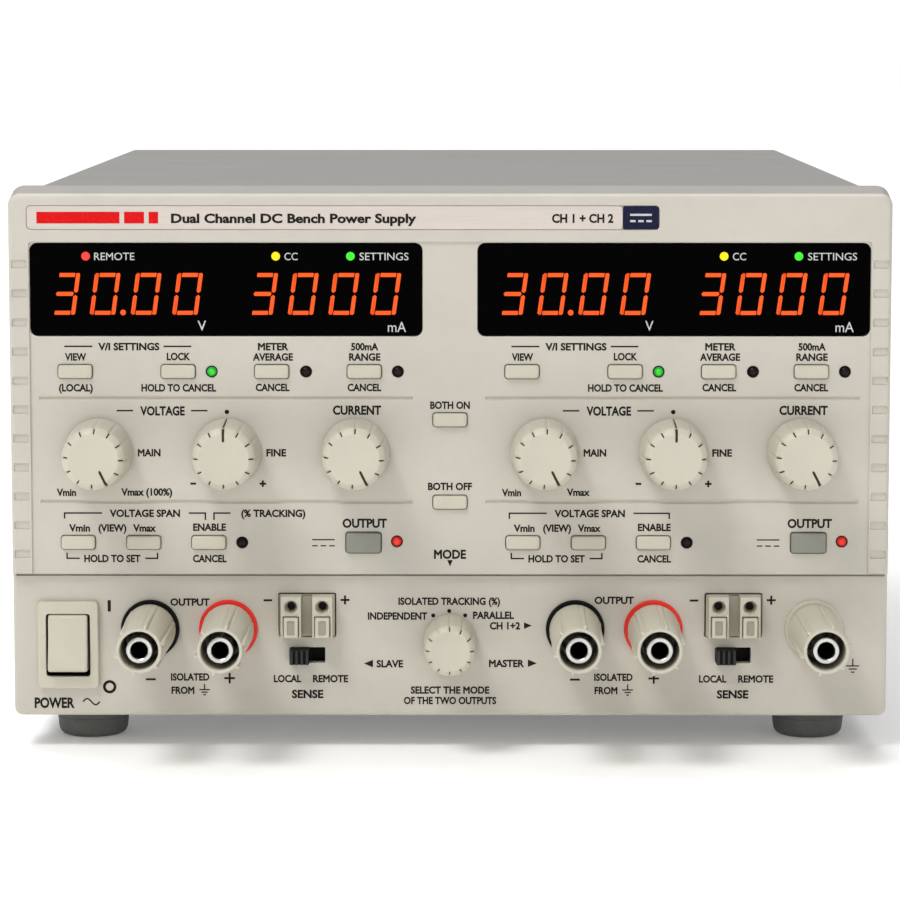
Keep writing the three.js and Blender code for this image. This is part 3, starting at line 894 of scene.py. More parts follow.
def build_lamps(finishes):
    lights = {
        "green": glowing("lamp_green", finishes.green[:], 0.75, 0.35).material,
        "red": glowing("lamp_red", finishes.red[:], 0.8, 0.35).material,
        "dark": dark_lens().material,
    }
    rims = {
        "green": glowing("lamp_green_rim", screen(58, 186, 74), 0.6, 0.35).material,
        "red": glowing("lamp_red_rim", screen(220, 52, 44), 0.6, 0.35).material,
        "dark": lights["dark"],
    }
    collar = black_plastic("lamp_collar", 0.5).material
    for number, x in CHANNELS.items():
        for count, (offset, z, state) in enumerate(LAMPS):
            bm = bmesh.new()
            front = PANEL - 0.12
            dome = [
                (0, front - 0.42), (0.42, front - 0.39), (0.72, front - 0.3), (0.72, PANEL + 1),
                (0, PANEL + 1),
            ]
            turned(bm, dome, (x + offset, z), 32, index=0)
            skirt = [(0.73, front - 0.3), (0.95, front - 0.16), (1.14, front + 0.1), (1.15, PANEL + 2.2)]
            turned(bm, skirt + [(0.73, PANEL + 2.2)], (x + offset, z), 32, closed=True, index=2)
            ring = [(1.18, PANEL + 0.05), (1.42, PANEL + 0.12), (1.42, PANEL + 2), (1.18, PANEL + 2)]
            turned(bm, ring, (x + offset, z), 32, closed=True, index=1)
            lamp = new_object(f"lamp_{count + 1}_channel_{number}", bm, [lights[state], collar, rims[state]])
            place(lamp, "black_plastic")


# ---- Keys and knobs ----


def build_key(node, material, slot):
    """A keycap with a softly crowned face, its flange behind the panel and its push rod."""
    low, high = limits(node)
    centre = middle(node)
    width, height = (side - 0.24 for side in key_hole(node))
    flange = PANEL + WALL + GAP
    bm = bmesh.new()

    def cap(inset):
        radius = max(0.12, 0.68 - inset * 0.5)
        return block(width - 2 * inset, height - 2 * inset, radius, 5, centre.x, centre.z)

    skirt = block(width + 1.6, height + 1.6, 0.5, 5, centre.x, centre.z)
    rod = block(2, 2, 0.2, 5, centre.x, centre.z)
    sections = [(high.y, rod), (flange + 0.8, rod), (flange + 0.8, skirt), (flange, skirt), (flange, cap(0))]
    sections += [(low.y + 0.5, cap(0)), (low.y + 0.28, cap(0.05)), (low.y + 0.13, cap(0.16))]
    sections += [(low.y + 0.05, cap(0.34)), (low.y + 0.02, cap(0.6)), (low.y, cap(1.1))]
    stack(bm, sections)
    place(new_object(f"cap_{node}", bm, [material]), slot, body=node, nodes=[node], crease=50)


def notch_wave(count, first, width, depths):
    """A turned solid's radius change at each notch, by row."""
    pitch = 2 * pi / count

    def wave(angle, row):
        near = abs((angle - first + pitch / 2) % pitch - pitch / 2)
        return -depths[row] * (0.5 + 0.5 * cos(pi * near / width)) if near < width else 0

    return wave


def pointer_strip(bm, centre, profile, reach, angle, width, index):
    """A thin line laid over a knob's face along one radius."""
    radii = [reach[0] + (reach[1] - reach[0]) * i / 12 for i in range(13)]

    def depth(radius):
        for (r0, y0), (r1, y1) in zip(profile, profile[1:]):
            if r0 <= radius <= r1:
                return y0 + (y1 - y0) * (radius - r0) / max(r1 - r0, 1e-6)
        raise ValueError(f"radius {radius} is outside the knob's face")

    rings = []
    for r in radii:
        y = depth(r)
        end = min(r - reach[0], 0.2) / 0.2
        half = width / 2 * max(0.35, end)
        ring = []
        for side, lift in ((-half, -0.035), (half, -0.035), (half, 0.12), (-half, 0.12)):
            x = r * sin(angle) + side * cos(angle)
            z = r * cos(angle) - side * sin(angle)
            ring.append(bm.verts.new((centre.x + x, y + lift, centre.z + z)))
        rings.append(ring)
    bridge(bm, rings, index=index)
    bm.faces.new(rings[0]).material_index = index
    bm.faces.new(rings[-1]).material_index = index


def side_line(bm, centre, rows, width, index):
    """A thin moulded line up the top of a knob's side, meeting the pointer."""
    rings = []
    for radius, y in rows:
        ring = []
        for side, lift in ((-0.5, 0.03), (0.5, 0.03), (0.5, -0.15), (-0.5, -0.15)):
            ring.append(bm.verts.new((centre.x + side * width, y, centre.z + radius + lift)))
        rings.append(ring)
    bridge(bm, rings, index=index)
    bm.faces.new(rings[0]).material_index = index
    bm.faces.new(rings[-1]).material_index = index


def build_knob(node, pointer, materials, sizes, marked=True):
    """A tapered knob with a dished face, notches round its bevelled rim and a pointer."""
    low, high = limits(node)
    centre = middle(node)
    base = extent(node).x / 2
    small = base < 7
    front_radius, face = (6.2, 4.85) if small else (7.6, 6.05)
    f = low.y
    back = (TERMINAL if small else PANEL) - 0.7
    face_rows = [
        (0, f + 0.62), (face * 0.3, f + 0.58), (face * 0.55, f + 0.46), (face * 0.75, f + 0.28),
        (face * 0.9, f + 0.09), (face * 0.97, f + 0.02), (face + 0.06, f + 0.03), (face + 0.3, f + 0.16),
        (front_radius - 0.42, f + 1.0), (front_radius - 0.12, f + 1.4), (front_radius, f + 1.9),
    ]
    side_rows = [
        (front_radius + (base - front_radius) * 0.25, f + (back - f) * 0.32),
        (front_radius + (base - front_radius) * 0.6, f + (back - f) * 0.65),
        (base - 0.12, back - 1.2), (base, back - 0.8), (base, back - 0.15), (base - 0.12, back),
        (3, back), (3, high.y), (0, high.y),
    ]
    profile = face_rows + side_rows
    depths = [0, 0, 0, 0, 0, 0.02, 0.2, 0.36, 0.42, 0.4, 0.34, 0.24, 0.14, 0.05, 0, 0, 0, 0, 0, 0]
    bm = bmesh.new()
    segments = 240
    width = radians(4.2) if not small else radians(4.8)
    faces = turned(
        bm, profile, (centre.x, centre.z), segments, notch_wave(sizes.notches, pointer, width, depths)
    )
    # The bottom of each notch on the bevel is darkened with the second material, apart from the pointer's.
    pitch = 2 * pi / sizes.notches
    for face_made in faces:
        where = face_made.calc_center_median()
        radius = hypot(where.x - centre.x, where.z - centre.z)
        angle = atan2(where.x - centre.x, where.z - centre.z)
        near = abs((angle - pointer + pitch / 2) % pitch - pitch / 2)
        turn = abs((angle - pointer + pi) % (2 * pi) - pi)
        on_bevel = face < radius < front_radius - 0.2 and where.y < f + 1.4
        if on_bevel and near < radians(1.6) and (marked or turn > radians(10)):
            face_made.material_index = 1
    if marked:
        start = 0.52 if pointer else 0.67
        pointer_strip(bm, centre, face_rows, (face * start, front_radius - 0.45), pointer, 0.6, 1)
    if marked and not pointer:
        side_line(bm, centre, [face_rows[-1]] + side_rows[:4], 0.26, 1)
    place(new_object(f"grip_{node}", bm, materials), "cap_plastic", body=node, nodes=[node], crease=45)


def build_knobs(finishes, sizes):
    materials = [cap_plastic(finishes).material, printed("knob_ink", screen(52, 46, 34)).material]
    for node in KNOBS:
        pointer = 0 if "fine" in node else radians(153)
        build_knob(node, pointer, materials, sizes)
    build_knob("mode_knob", radians(-30), materials, sizes, marked=False)


# ---- Output terminals ----


def build_terminal(post, colour, materials, sizes):
    """A coloured collar, a nickel socket tube with its nut, and the ribbed cap round it."""
    node = f"terminal_post_{post}"
    low, high = limits(node)
    centre = middle(node)
    tip = low.y
    collar_front = TERMINAL - 1.2
    nut_seat = TERMINAL + WALL
    bm = bmesh.new()
    tube = [
        (2.02, tip + 20), (2.02, tip + 0.35), (2.12, tip + 0.12), (2.3, tip), (2.85, tip), (3.04, tip + 0.1),
        (3.12, tip + 0.35), (3.12, TERMINAL - 0.3), (0, TERMINAL - 0.3), (0, tip + 20),
    ]
    turned(bm, tube, (centre.x, centre.z), 64, index=0)
    # A black sleeve in the collar's black plastic lines the bore: painted shade that keeps the hole dark.
    shade_liner = [
        (2.05, tip + 20.1), (2.05, tip + 0.6), (1.94, tip + 0.6), (1.94, tip + 19.8), (0, tip + 19.8),
        (0, tip + 20.1),
    ]
    turned(bm, shade_liner, (centre.x, centre.z), 48, closed=True, index=2)
    stud = [
        (0, nut_seat + 4), (2, nut_seat + 4), (2, high.y - 0.4), (1.6, high.y), (0, high.y)
    ]
    turned(bm, stud, (centre.x, centre.z), 24, index=0)
    nut = [block(9.6, 9.6, 1.6, 3, centre.x, centre.z)] * 2
    stack(bm, [(nut_seat + 1, nut[0]), (nut_seat + 4.1, nut[1])], 0)
    collar = [
        (3.15, collar_front + 0.05), (6.75, collar_front), (7.02, collar_front + 0.1),
        (7.15, collar_front + 0.35),
        (7.15, TERMINAL - 0.12), (3.9, TERMINAL - 0.12), (3.9, nut_seat + 1.1),
        (3.15, nut_seat + 1.1),
    ]
    turned(bm, collar, (centre.x, centre.z), 96, closed=True, index=1)
    slots = {"black": "terminal_black", "red": "terminal_red"}
    place(
        new_object(f"socket_{post}", bm, [materials["nickel"], materials[colour], materials["black"]]),
        slots.get(colour, "cap_plastic"), nodes=[node], crease=30,
    )
    build_terminal_cap(post, materials["cap"], sizes)


def build_terminal_cap(post, material, sizes):
    node = f"terminal_cap_{post}"
    low, high = limits(node)
    centre = middle(node)
    tip, back = low.y, high.y
    base, nose, shroud, bore = 6.3, 5.42, 4.55, 3.52
    length = back - tip
    inner = [
        (bore, back - 0.3), (bore, tip + 18.2), (bore + 0.2, tip + 18), (shroud, tip + 18),
        (shroud, tip + 0.5),
        (shroud + 0.08, tip + 0.2), (shroud + 0.25, tip + 0.03),
    ]
    nose_rows = [(nose - 0.4, tip), (nose - 0.14, tip + 0.12), (nose, tip + 0.45)]
    steps = 14
    first = nose_rows[-1]
    body = []
    for i in range(1, steps + 1):
        t = (i / steps) ** 1.5
        body.append((first[0] + (base - first[0]) * t ** 0.92, first[1] + (length - 1.4) * t))
    foot = [(base, back - 0.45), (base - 0.12, back - 0.12), (base - 0.35, back), (bore + 0.25, back)]
    profile = inner + nose_rows + body + foot
    rib_start = len(inner) + len(nose_rows)
    rib_rows = range(rib_start, rib_start + steps)
    rib_radius = 6.2
    half_width = radians(4.6)
    pitch = 2 * pi / sizes.ribs

    def wave(angle, row):
        near = abs((angle - radians(15) + pitch / 2) % pitch - pitch / 2)
        if row not in rib_rows or near > 2.2 * half_width:
            return 0
        radius = profile[row][0]
        if near <= half_width:
            rise = max(0.1, rib_radius - radius)
            shape = min(1, 1.6 * cos(pi / 2 * near / half_width))
            return rise * shape
        # A shallow valley runs beside each rib.
        return -0.14 * sin(pi * (near - half_width) / (1.2 * half_width))

    bm = bmesh.new()
    turned(bm, profile, (centre.x, centre.z), 240, wave, closed=True)
    place(new_object(f"shell_{node}", bm, [material]), "cap_plastic", body=node, nodes=[node], crease=38)


def build_terminals(finishes, sizes):
    materials = {
        "nickel": nickel().material,
        "black": black_plastic("black_collar_plastic", 0.3).material,
        "red": red_plastic().material,
        "cap": cap_plastic(finishes).material,
        "cream": cap_plastic(finishes).material,
    }
    colours = {"negative": "black", "positive": "red", "ground": "cream"}
    for post in POSTS:
        build_terminal(post, colours[post.split("_")[0]], materials, sizes)


# ---- Remote sense blocks ----


def build_sense(number, finishes):
    """Two clamp units on a common base, their levers, and the local or remote switch below."""
    node = f"sense_terminal_{number}"
    low, high = limits(node)
    centre = middle(node)
    base_front = TERMINAL - 1.2
    units = [middle(f"sense_lever_{side}_{number}").x for side in ("negative", "positive")]
    cream = cap_plastic(finishes).material
    bm = bmesh.new()
    solid_box(bm, (low.x, high.x), (base_front, high.y), (low.z, high.z))
    block_made = new_object(f"sense_block_{number}", bm, [])
    upper = bmesh.new()
    for x in units:
        solid_box(upper, around(x, 4.9), (low.y, high.y - 0.5), (low.z + 0.01, high.z - 0.01))
    carve(block_made, upper, join=True)
    cutters = bmesh.new()
    hole_z = centre.z + 2.55
    for x in units:
        funnel = [(0, low.y - 0.5), (1.72, low.y - 0.5), (1.62, low.y + 0.3), (0.98, low.y + 2.6)]
        funnel += [(0.98, high.y - 2), (0, high.y - 2)]
        turned(cutters, funnel, (x, hole_z), 40)
        solid_box(cutters, around(x, 3.86), (low.y - 1, high.y - 2), (low.z - 1, centre.z + 0.3))
    carve(block_made, cutters)
    shaded = recess_shade_cream().material
    block_made.data.materials.clear()
    block_made.data.materials.append(cream)
    block_made.data.materials.append(shaded)
    round_edges(block_made, 0.14)
    # The base's forward faces round the units take the darker cream: painted shade in the recess.
    shade_level(block_made, base_front)
    place(block_made, "cap_plastic", nodes=[node])
    # The strip between the two units is drawn in the darker cream: painted shade in the gap between them.
    trim = bmesh.new()
    soft_box(
        trim, around(centre.x, 2.6), (base_front - 0.15, base_front + 0.3), (low.z + 1.2, high.z - 0.3), 0.1
    )
    for x in units:
        boss = [(1.76, low.y + 0.2), (1.82, low.y - 0.14), (2.1, low.y - 0.14), (2.2, low.y + 0.2)]
        turned(trim, boss, (x, hole_z), 40, closed=True, index=1)
        # A black disc deep in each funnel is painted shade that keeps the hole dark.
        hole_shade_disc = [(0, low.y + 2.7), (0.96, low.y + 2.7), (0.96, low.y + 3.2), (0, low.y + 3.2)]
        turned(trim, hole_shade_disc, (x, hole_z), 24, index=2)
    dark = black_plastic("slide_switch_plastic", 0.42).material
    place(new_object(f"sense_trim_{number}", trim, [shaded, cream, dark]), "cap_plastic")
    for side in ("negative", "positive"):
        build_lever(f"sense_lever_{side}_{number}", cream, shaded)
    build_slider(number)


def shade_level(obj, level):
    """Gives the second material, a darker cream of painted shade, to the forward faces that lie at one
    depth.
    """
    for polygon in obj.data.polygons:
        if polygon.normal.y < -0.9 and abs(polygon.center.y / MM - level) < 0.02:
            polygon.material_index = 1


def build_lever(node, material, shaded):
    """A release lever with a thumb hollow down its face."""
    low, high = limits(node)
    centre = middle(node)
    half = extent(node).x / 2
    bm = bmesh.new()
    soft_box(bm, (low.x, high.x), (low.y, high.y), (low.z, high.z), 0.28, segments=3)
    lever = new_object(f"lever_{node}", bm, [material])
    cutters = bmesh.new()
    hollow = [(low.y - 1, block(2 * half - 1.3, 3.9, 0.5, 4, centre.x, centre.z)),
              (low.y + 0.28, block(2 * half - 1.7, 3.5, 0.4, 4, centre.x, centre.z))]
    stack(cutters, hollow)
    carve(lever, cutters)
    lever.data.materials.clear()
    lever.data.materials.append(material)
    lever.data.materials.append(shaded)
    # The floor of the thumb hollow takes the darker cream: painted shade.
    shade_level(lever, low.y + 0.28)
    place(lever, "cap_plastic", body=node, nodes=[node], crease=30)


def build_slider(number):
    """The black switch in its opening: a well behind the panel, and a ribbed slider."""
    node = f"sense_slider_{number}"
    low, high = limits(node)
    centre = middle(node)
    sense_x = middle(f"sense_terminal_{number}").x
    black = black_plastic("slide_switch_plastic", 0.42).material
    behind = TERMINAL + WALL
    bm = bmesh.new()
    grip = extent(node).x - 1.6
    soft_box(bm, around(centre.x, grip), (low.y + 0.35, behind + 1.2), around(centre.z, 3.5), 0.15)
    for i in range(4):
        x = centre.x - grip / 2 + 0.45 + i * (grip - 0.9) / 3
        soft_box(bm, around(x, 0.62), (low.y, low.y + 1), around(centre.z, 3.5), 0.14, 1)
    soft_box(bm, (low.x, high.x), (behind + GAP, high.y), (low.z, high.z), 0.1)
    ribs = moulded("slider_rib_plastic", (0.03, 0.03, 0.032), 0.45, 0.008, 0.2).material
    place(
        new_object(f"slider_{node}", bm, [black, ribs]), "black_plastic", body=node, nodes=[node], crease=30
    )
    well = bmesh.new()
    floor = high.y + 0.4
    soft_box(well, around(sense_x, 15), (floor, floor + 4), around(centre.z, 7), 0.2)
    for side in (-1, 1):
        lip = around(sense_x + side * 6.6, 1.6)
        soft_box(well, lip, (behind + 0.05, floor + 0.2), around(centre.z, 7), 0.1)
        soft_box(
            well, around(sense_x, 13), (behind + 0.05, floor + 0.2), around(centre.z + side * 3.2, 0.6), 0.1
        )
    place(new_object(f"slide_switch_well_{number}", well, [black]), "black_plastic")


# ---- Mains rocker ----


def build_power_switch(finishes):
    node = "power_switch_housing"
    low, high = limits(node)
    centre = middle(node)
    size = extent(node)
    bm = bmesh.new()

    def outline(inset):
        return block(size.x - 2 * inset, size.z - 2 * inset, 1.1, 5, centre.x, centre.z)

    rim = [(TERMINAL - 0.15, outline(0)), (low.y + 0.42, outline(0.06)), (low.y + 0.2, outline(0.14))]
    rim += [(low.y + 0.06, outline(0.28)), (low.y, outline(0.5))]
    stack(bm, rim)
    housing = new_object("rocker_housing", bm, [])
    barrel = bmesh.new()
    stack(barrel, [(y, block(12.6, 18.6, 0.5, 4, centre.x, centre.z)) for y in (low.y + 0.6, high.y)])
    carve(housing, barrel, join=True)
    cutters = bmesh.new()
    stack(cutters, [(y, block(10.7, 15.4, 0.7, 4, centre.x, centre.z)) for y in (low.y - 1, TERMINAL + 8)])
    carve(housing, cutters)
    housing.data.materials.clear()
    housing.data.materials.append(cap_plastic(finishes).material)
    round_edges(housing, 0.2)
    place(housing, "cap_plastic", nodes=[node])
    # A thin black sheet lines the opening round the rocker: painted shade in the gap.
    shade_liner = bmesh.new()
    outer = block(10.66, 15.36, 0.7, 4, centre.x, centre.z)
    inner = block(10.3, 15.0, 0.6, 4, centre.x, centre.z)
    rings = []
    for y, line in (
        (TERMINAL + 7.9, outer), (low.y + 0.9, outer), (low.y + 0.9, inner), (TERMINAL + 7.9, inner)
    ):
        rings.append([shade_liner.verts.new((x, y, z)) for x, z in line])
    bridge(shade_liner, rings, closed=True)
    black = black_plastic("rocker_gap_painted_shade", 0.55).material
    place(new_object("rocker_well", shade_liner, [black]), "black_plastic")
    build_rocker(finishes)


def build_rocker(finishes):
    """The rocker with a shallow hollow across its face, tipped so that its top is pressed in."""
    node = "power_rocker"
    joint = next(j for j in frame["joints"] if j["child"] == node)
    pivot = Vector(joint["pos_m"]) / MM
    half_width = extent(node).x / 2 - 0.22
    half = 7.0
    face = TERMINAL - 3.1 - pivot.y
    side = [(face + 0.55, -half + 0.02), (face + 0.16, -half + 0.5), (face, -half + 0.95)]
    side += [(face + 0.42 * (1 - (z / (half - 0.95)) ** 2), z) for z in (-4.6, -3, -1.5, 0, 1.5, 3, 4.6)]
    side += [(face, half - 0.95), (face + 0.16, half - 0.5), (face + 0.55, half - 0.02)]
    side += [(0.9, half - 0.3), (2.9, 1.5), (2.9, -1.5), (0.9, -half + 0.3)]
    bm = bmesh.new()
    rings = []
    for x, inset in ((-half_width, 0.45), (-half_width + 0.14, 0.14), (-half_width + 0.45, 0),
                     (half_width - 0.45, 0), (half_width - 0.14, 0.14), (half_width, 0.45)):
        ring = []
        for y, z in side:
            length = hypot(y, z)
            shrink = 1 - inset / length
            ring.append(bm.verts.new((x, y * shrink, z * shrink)))
        rings.append(ring)
    bridge(bm, rings)
    bm.faces.new(rings[0])
    bm.faces.new(rings[-1])
    tilt = Matrix.Rotation(radians(-9), 4, "X")
    bmesh.ops.transform(bm, matrix=Matrix.Translation(pivot) @ tilt, verts=bm.verts)
    rocker = new_object("rocker_cap", bm, [cap_plastic(finishes).material])
    place(rocker, "cap_plastic", body=node, nodes=[node], crease=50)


# ---- Printed legends ----

SMALL, MEDIUM = 1.95, 2.4
# Words of one channel: text, place across from the channel's middle, height, width, cap height.
CHANNEL_WORDS = [
    ("V/I SETTINGS", -23.6, 98.7, 14.8, SMALL),
    ("VIEW", -36.5, 96.2, 5.2, SMALL),
    ("LOCK", -11.6, 96.3, 5.7, SMALL),
    ("HOLD TO CANCEL", -11.6, 88.7, 18.1, SMALL),
    ("METER", 11.3, 98.7, 7.4, SMALL),
    ("AVERAGE", 11.2, 96.2, 9.7, SMALL),
    ("CANCEL", 11.1, 88.8, 8.2, SMALL),
    ("500mA", 33.4, 98.7, 6.6, SMALL),
    ("RANGE", 33.4, 96.2, 7.6, SMALL),
    ("CANCEL", 33.3, 88.8, 8.2, SMALL),
    ("VOLTAGE", -15.6, 83.1, 10.8, MEDIUM),
    ("CURRENT", 31.5, 83.3, 11.7, MEDIUM),
    ("MAIN", -18.9, 72.9, 5.5, SMALL),
    ("FINE", 11.9, 72.9, 4.8, SMALL),
    ("Vmin", -39.1, 63.2, 4.7, SMALL),
    ("VOLTAGE SPAN", -20.1, 58.1, 17.1, SMALL),
    ("Vmin", -36, 54.5, 5.1, SMALL),
    ("(VIEW)", -28, 54.5, 6.8, SMALL),
    ("Vmax", -20.2, 54.5, 5.6, SMALL),
    ("ENABLE", -4.4, 54.7, 8, SMALL),
    ("HOLD TO SET", -28.1, 47, 13.7, SMALL),
    ("CANCEL", -4.4, 47, 8.2, SMALL),
    ("OUTPUT", 33.3, 55.7, 10.8, MEDIUM),
]
FIRST_CHANNEL_WORDS = [
    ("(LOCAL)", -36.5, 88.7, 8.2, SMALL),
    ("Vmax (100%)", -19.6, 63.3, 12.4, SMALL),
    ("(% TRACKING)", 11.1, 58.1, 15.6, SMALL),
]
SECOND_CHANNEL_WORDS = [("Vmax", -22.9, 63.3, 5.6, SMALL)]
CENTRE_WORDS = [
    ("BOTH ON", 0, 84.5, 9.6, SMALL),
    ("BOTH OFF", 0, 64.7, 10.7, SMALL),
    ("MODE", 0, 48.1, 7.8, MEDIUM),
]
# Words of the terminal area: text, place across, height, width, cap height.
TERMINAL_WORDS = [
    ("POWER", -96.7, 11.2, 9.8, 2.8),
    ("ISOLATED TRACKING (%)", -0.2, 36.35, 24.8, SMALL),
    ("INDEPENDENT", -12.8, 32.7, 14.5, SMALL),
    ("PARALLEL", 10.6, 32.9, 10, SMALL),
    ("CH 1+2", 13.4, 30.3, 7.4, SMALL),
    ("SLAVE", -14.7, 20.9, 6.5, SMALL),
    ("MASTER", 13.8, 21, 8.6, SMALL),
    ("SELECT THE MODE", 0, 14.4, 19.2, SMALL),
    ("OF THE TWO OUTPUTS", 0, 11.8, 22.6, SMALL),
]
# Words beside each pair of output terminals and its sense block.
OUTPUT_WORDS = {1: (-63.4, 36.1), 2: (40, 36.6)}
SENSE_WORDS = [
    ("LOCAL", -4.9, 17.2, 6.7, SMALL), ("REMOTE", 5.6, 17.2, 8.6, SMALL), ("SENSE", 0, 13.4, 7.7, 2.2)
]
BAR = 0.36


class Printer:
    """Collects flat ink shapes for one surface, facing the front or the back."""

    def __init__(self, depth, thickness, facing=-1):
        self.bm = bmesh.new()
        self.low = min(depth, depth + facing * thickness)
        self.high = max(depth, depth + facing * thickness)
        self.facing = facing

    def shape(self, outline):
        stack(self.bm, [(self.low, outline), (self.high, outline)])

    def bar(self, x0, x1, z, thick=BAR):
        self.shape([(x0, z - thick / 2), (x1, z - thick / 2), (x1, z + thick / 2), (x0, z + thick / 2)])

    def post(self, x, z0, z1, thick=BAR):
        self.shape([(x - thick / 2, z0), (x + thick / 2, z0), (x + thick / 2, z1), (x - thick / 2, z1)])

    def dot(self, x, z, radius):
        self.shape([(x + radius * cos(a * pi / 12), z + radius * sin(a * pi / 12)) for a in range(24)])

    def ring(self, x, z, radius, thick):
        rows = [
            (radius - thick, self.low), (radius, self.low), (radius, self.high), (radius - thick, self.high)
        ]
        turned(self.bm, rows, (x, z), 40, closed=True)

    def arrow(self, x, z, size, direction):
        """A solid triangle: direction is the angle it points to, clockwise from the top."""
        points = [(0, 0.55), (0.42, -0.45), (-0.42, -0.45)]
        c, s = cos(direction), sin(direction)
        self.shape([(x + size * (a * c + b * s), z + size * (b * c - a * s)) for a, b in points])

    def minus(self, x, z, size=1.9):
        self.bar(x - size / 2, x + size / 2, z, 0.5)

    def plus(self, x, z, size=1.9):
        arm, half = size / 2, 0.25
        corners = [(half, arm), (-half, arm), (-half, half), (-arm, half), (-arm, -half), (-half, -half)]
        corners += [(-half, -arm), (half, -arm), (half, -half), (arm, -half), (arm, half), (half, half)]
        self.shape([(x + a, z + b) for a, b in corners])

    def direct(self, low, high, z, thick=0.36):
        """The direct-current sign: a line over three dashes."""
        self.bar(low, high, z + 0.75, thick)
        dash = (high - low) / 4
        for i in range(3):
            start = low + i * 1.5 * dash
            self.bar(start, start + dash, z - 0.75, thick)

    def wave(self, x, z, width, height, thick=0.36):
        """The alternating-current sign."""
        upper, lower = [], []
        for i in range(25):
            t = i / 24
            a = x + (t - 0.5) * width
            b = z + height / 2 * sin(2 * pi * t)
            slope = atan2(height * pi * cos(2 * pi * t), width)
            upper.append((a - sin(slope) * thick / 2, b + cos(slope) * thick / 2))
            lower.append((a + sin(slope) * thick / 2, b - cos(slope) * thick / 2))
        self.shape(upper + lower[::-1])

    def ground(self, x, z, size):
        self.post(x, z, z + size * 0.55, 0.3)
        for i, part in enumerate((1, 0.62, 0.26)):
            self.bar(x - size / 2 * part, x + size / 2 * part, z - i * size * 0.24, 0.3)

    def words(self, text, x, z, width, cap, weight=0.038):
        """A line of text of a given width and cap height, its middle at (x, z)."""
        curve = bpy.data.curves.new("words", "FONT")
        curve.body = text
        curve.size = 1
        curve.resolution_u = 3
        curve.extrude = 0.05
        curve.bevel_depth = weight
        curve.bevel_resolution = 0
        writer = bpy.data.objects.new("words", curve)
        bpy.context.scene.collection.objects.link(writer)
        bpy.context.view_layer.update()
        mesh = bpy.data.meshes.new_from_object(writer.evaluated_get(bpy.context.evaluated_depsgraph_get()))
        bpy.data.objects.remove(writer)
        bpy.data.curves.remove(curve)
        part = bmesh.new()
        part.from_mesh(mesh)
        bpy.data.meshes.remove(mesh)
        bmesh.ops.remove_doubles(part, verts=part.verts, dist=1e-4)
        across = [v.co.x for v in part.verts]
        cap_height = 0.729 + 2 * weight
        scale_x = width / (max(across) - min(across))
        scale_z = cap / cap_height
        centre = (max(across) + min(across)) / 2
        for vert in part.verts:
            a = (vert.co.x - centre) * scale_x
            b = (vert.co.y + weight - cap_height / 2) * scale_z
            vert.co = (x - self.facing * a, self.low if vert.co.z * self.facing < 0 else self.high, z + b)
        mesh = bpy.data.meshes.new("words")
        part.to_mesh(mesh)
        part.free()
        self.bm.from_mesh(mesh)
        bpy.data.meshes.remove(mesh)

    def place(self, name, material, slot):
        place(new_object(name, self.bm, [material]), slot, crease=30)


def print_channel(ink, number, x):
    """Words, lines and signs of one channel's control panel."""
    words = CHANNEL_WORDS + (FIRST_CHANNEL_WORDS if number == 1 else SECOND_CHANNEL_WORDS)
    for text, offset, z, width, cap in words:
        ink.words(text, x + offset, z, width, cap)
    lines = [(-39.2, -32.4, 98.7), (-15.2, -8.5, 98.7), (-26.7, -22.7, 83.1), (-8.7, -4.7, 83.1)]
    lines += [(-39.1, -36, 47), (-20.1, -17.1, 47), (-39.6, -30.5, 58.1)]
    ends = [(-39.1, 47, 48.2), (-17.1, 47, 48.2), (-39.6, 56.9, 58.1)]
    if number == 1:
        lines += [(-9.4, -5.4, 58.1), (-3.3, 0.7, 58.1)]
        ends += [(-5.4, 56.6, 58.1), (-3.3, 56.6, 58.1)]
    else:
        lines.append((-9.5, -0.8, 58.1))
        ends.append((-0.8, 56.9, 58.1))
    for low, high, z in lines:
        ink.bar(x + low, x + high, z)
    for at, low, high in ends:
        ink.post(x + at, low - BAR / 2, high + BAR / 2)
    ink.dot(x, 82.8, 0.55)
    ink.minus(x - 8.3, 65.3, 1.4)
    ink.plus(x + 8.6, 65.3, 1.6)
    ink.direct(x + 20.5, x + 26, 50.85, 0.3)


def print_terminals(ink):
    for text, x, z, width, cap in TERMINAL_WORDS:
        ink.words(text, x, z, width, cap)
    # The rocker's on and off marks, and the sign for alternating current.
    ink.post(-83.1, 33.7, 36.5, 0.8)
    ink.ring(-83.2, 15.1, 1.65, 0.7)
    ink.wave(-87.7, 11.4, 4.1, 1.5)
    for number, (x, z) in OUTPUT_WORDS.items():
        ink.words("OUTPUT", x, z, 9.6, SMALL)
        ink.words("ISOLATED", x - 0.1, 17.6, 9.4, SMALL)
        ink.words("FROM", x - 1.9, 14.3, 5.6, SMALL)
        ink.ground(x + 3.4, 14.4, 2.6)
        ink.minus(middle(f"terminal_post_negative_{number}").x, 16.95, 2.4)
        ink.plus(middle(f"terminal_post_positive_{number}").x + 0.2, 17.25, 2.6)
        sense_x = middle(f"sense_terminal_{number}").x
        for text, offset, z_word, width, cap in SENSE_WORDS:
            ink.words(text, sense_x + offset, z_word, width, cap)
        ink.minus(sense_x - 9.6, 36.5, 2.1)
        ink.plus(sense_x + 9.2, 36.6, 2.2)
    ground = middle("terminal_post_ground").x
    ink.ground(ground + 9.6, 20.4, 3.2)
    for i, x in enumerate((-4.1, -0.2, 3.7)):
        ink.dot(x, 33.9 if i == 1 else 32.8, 0.5)
    ink.arrow(18.9, 30.3, 1.9, pi / 2)
    ink.arrow(-19.8, 20.9, 2.2, -pi / 2)
    ink.arrow(20, 21, 2.2, pi / 2)


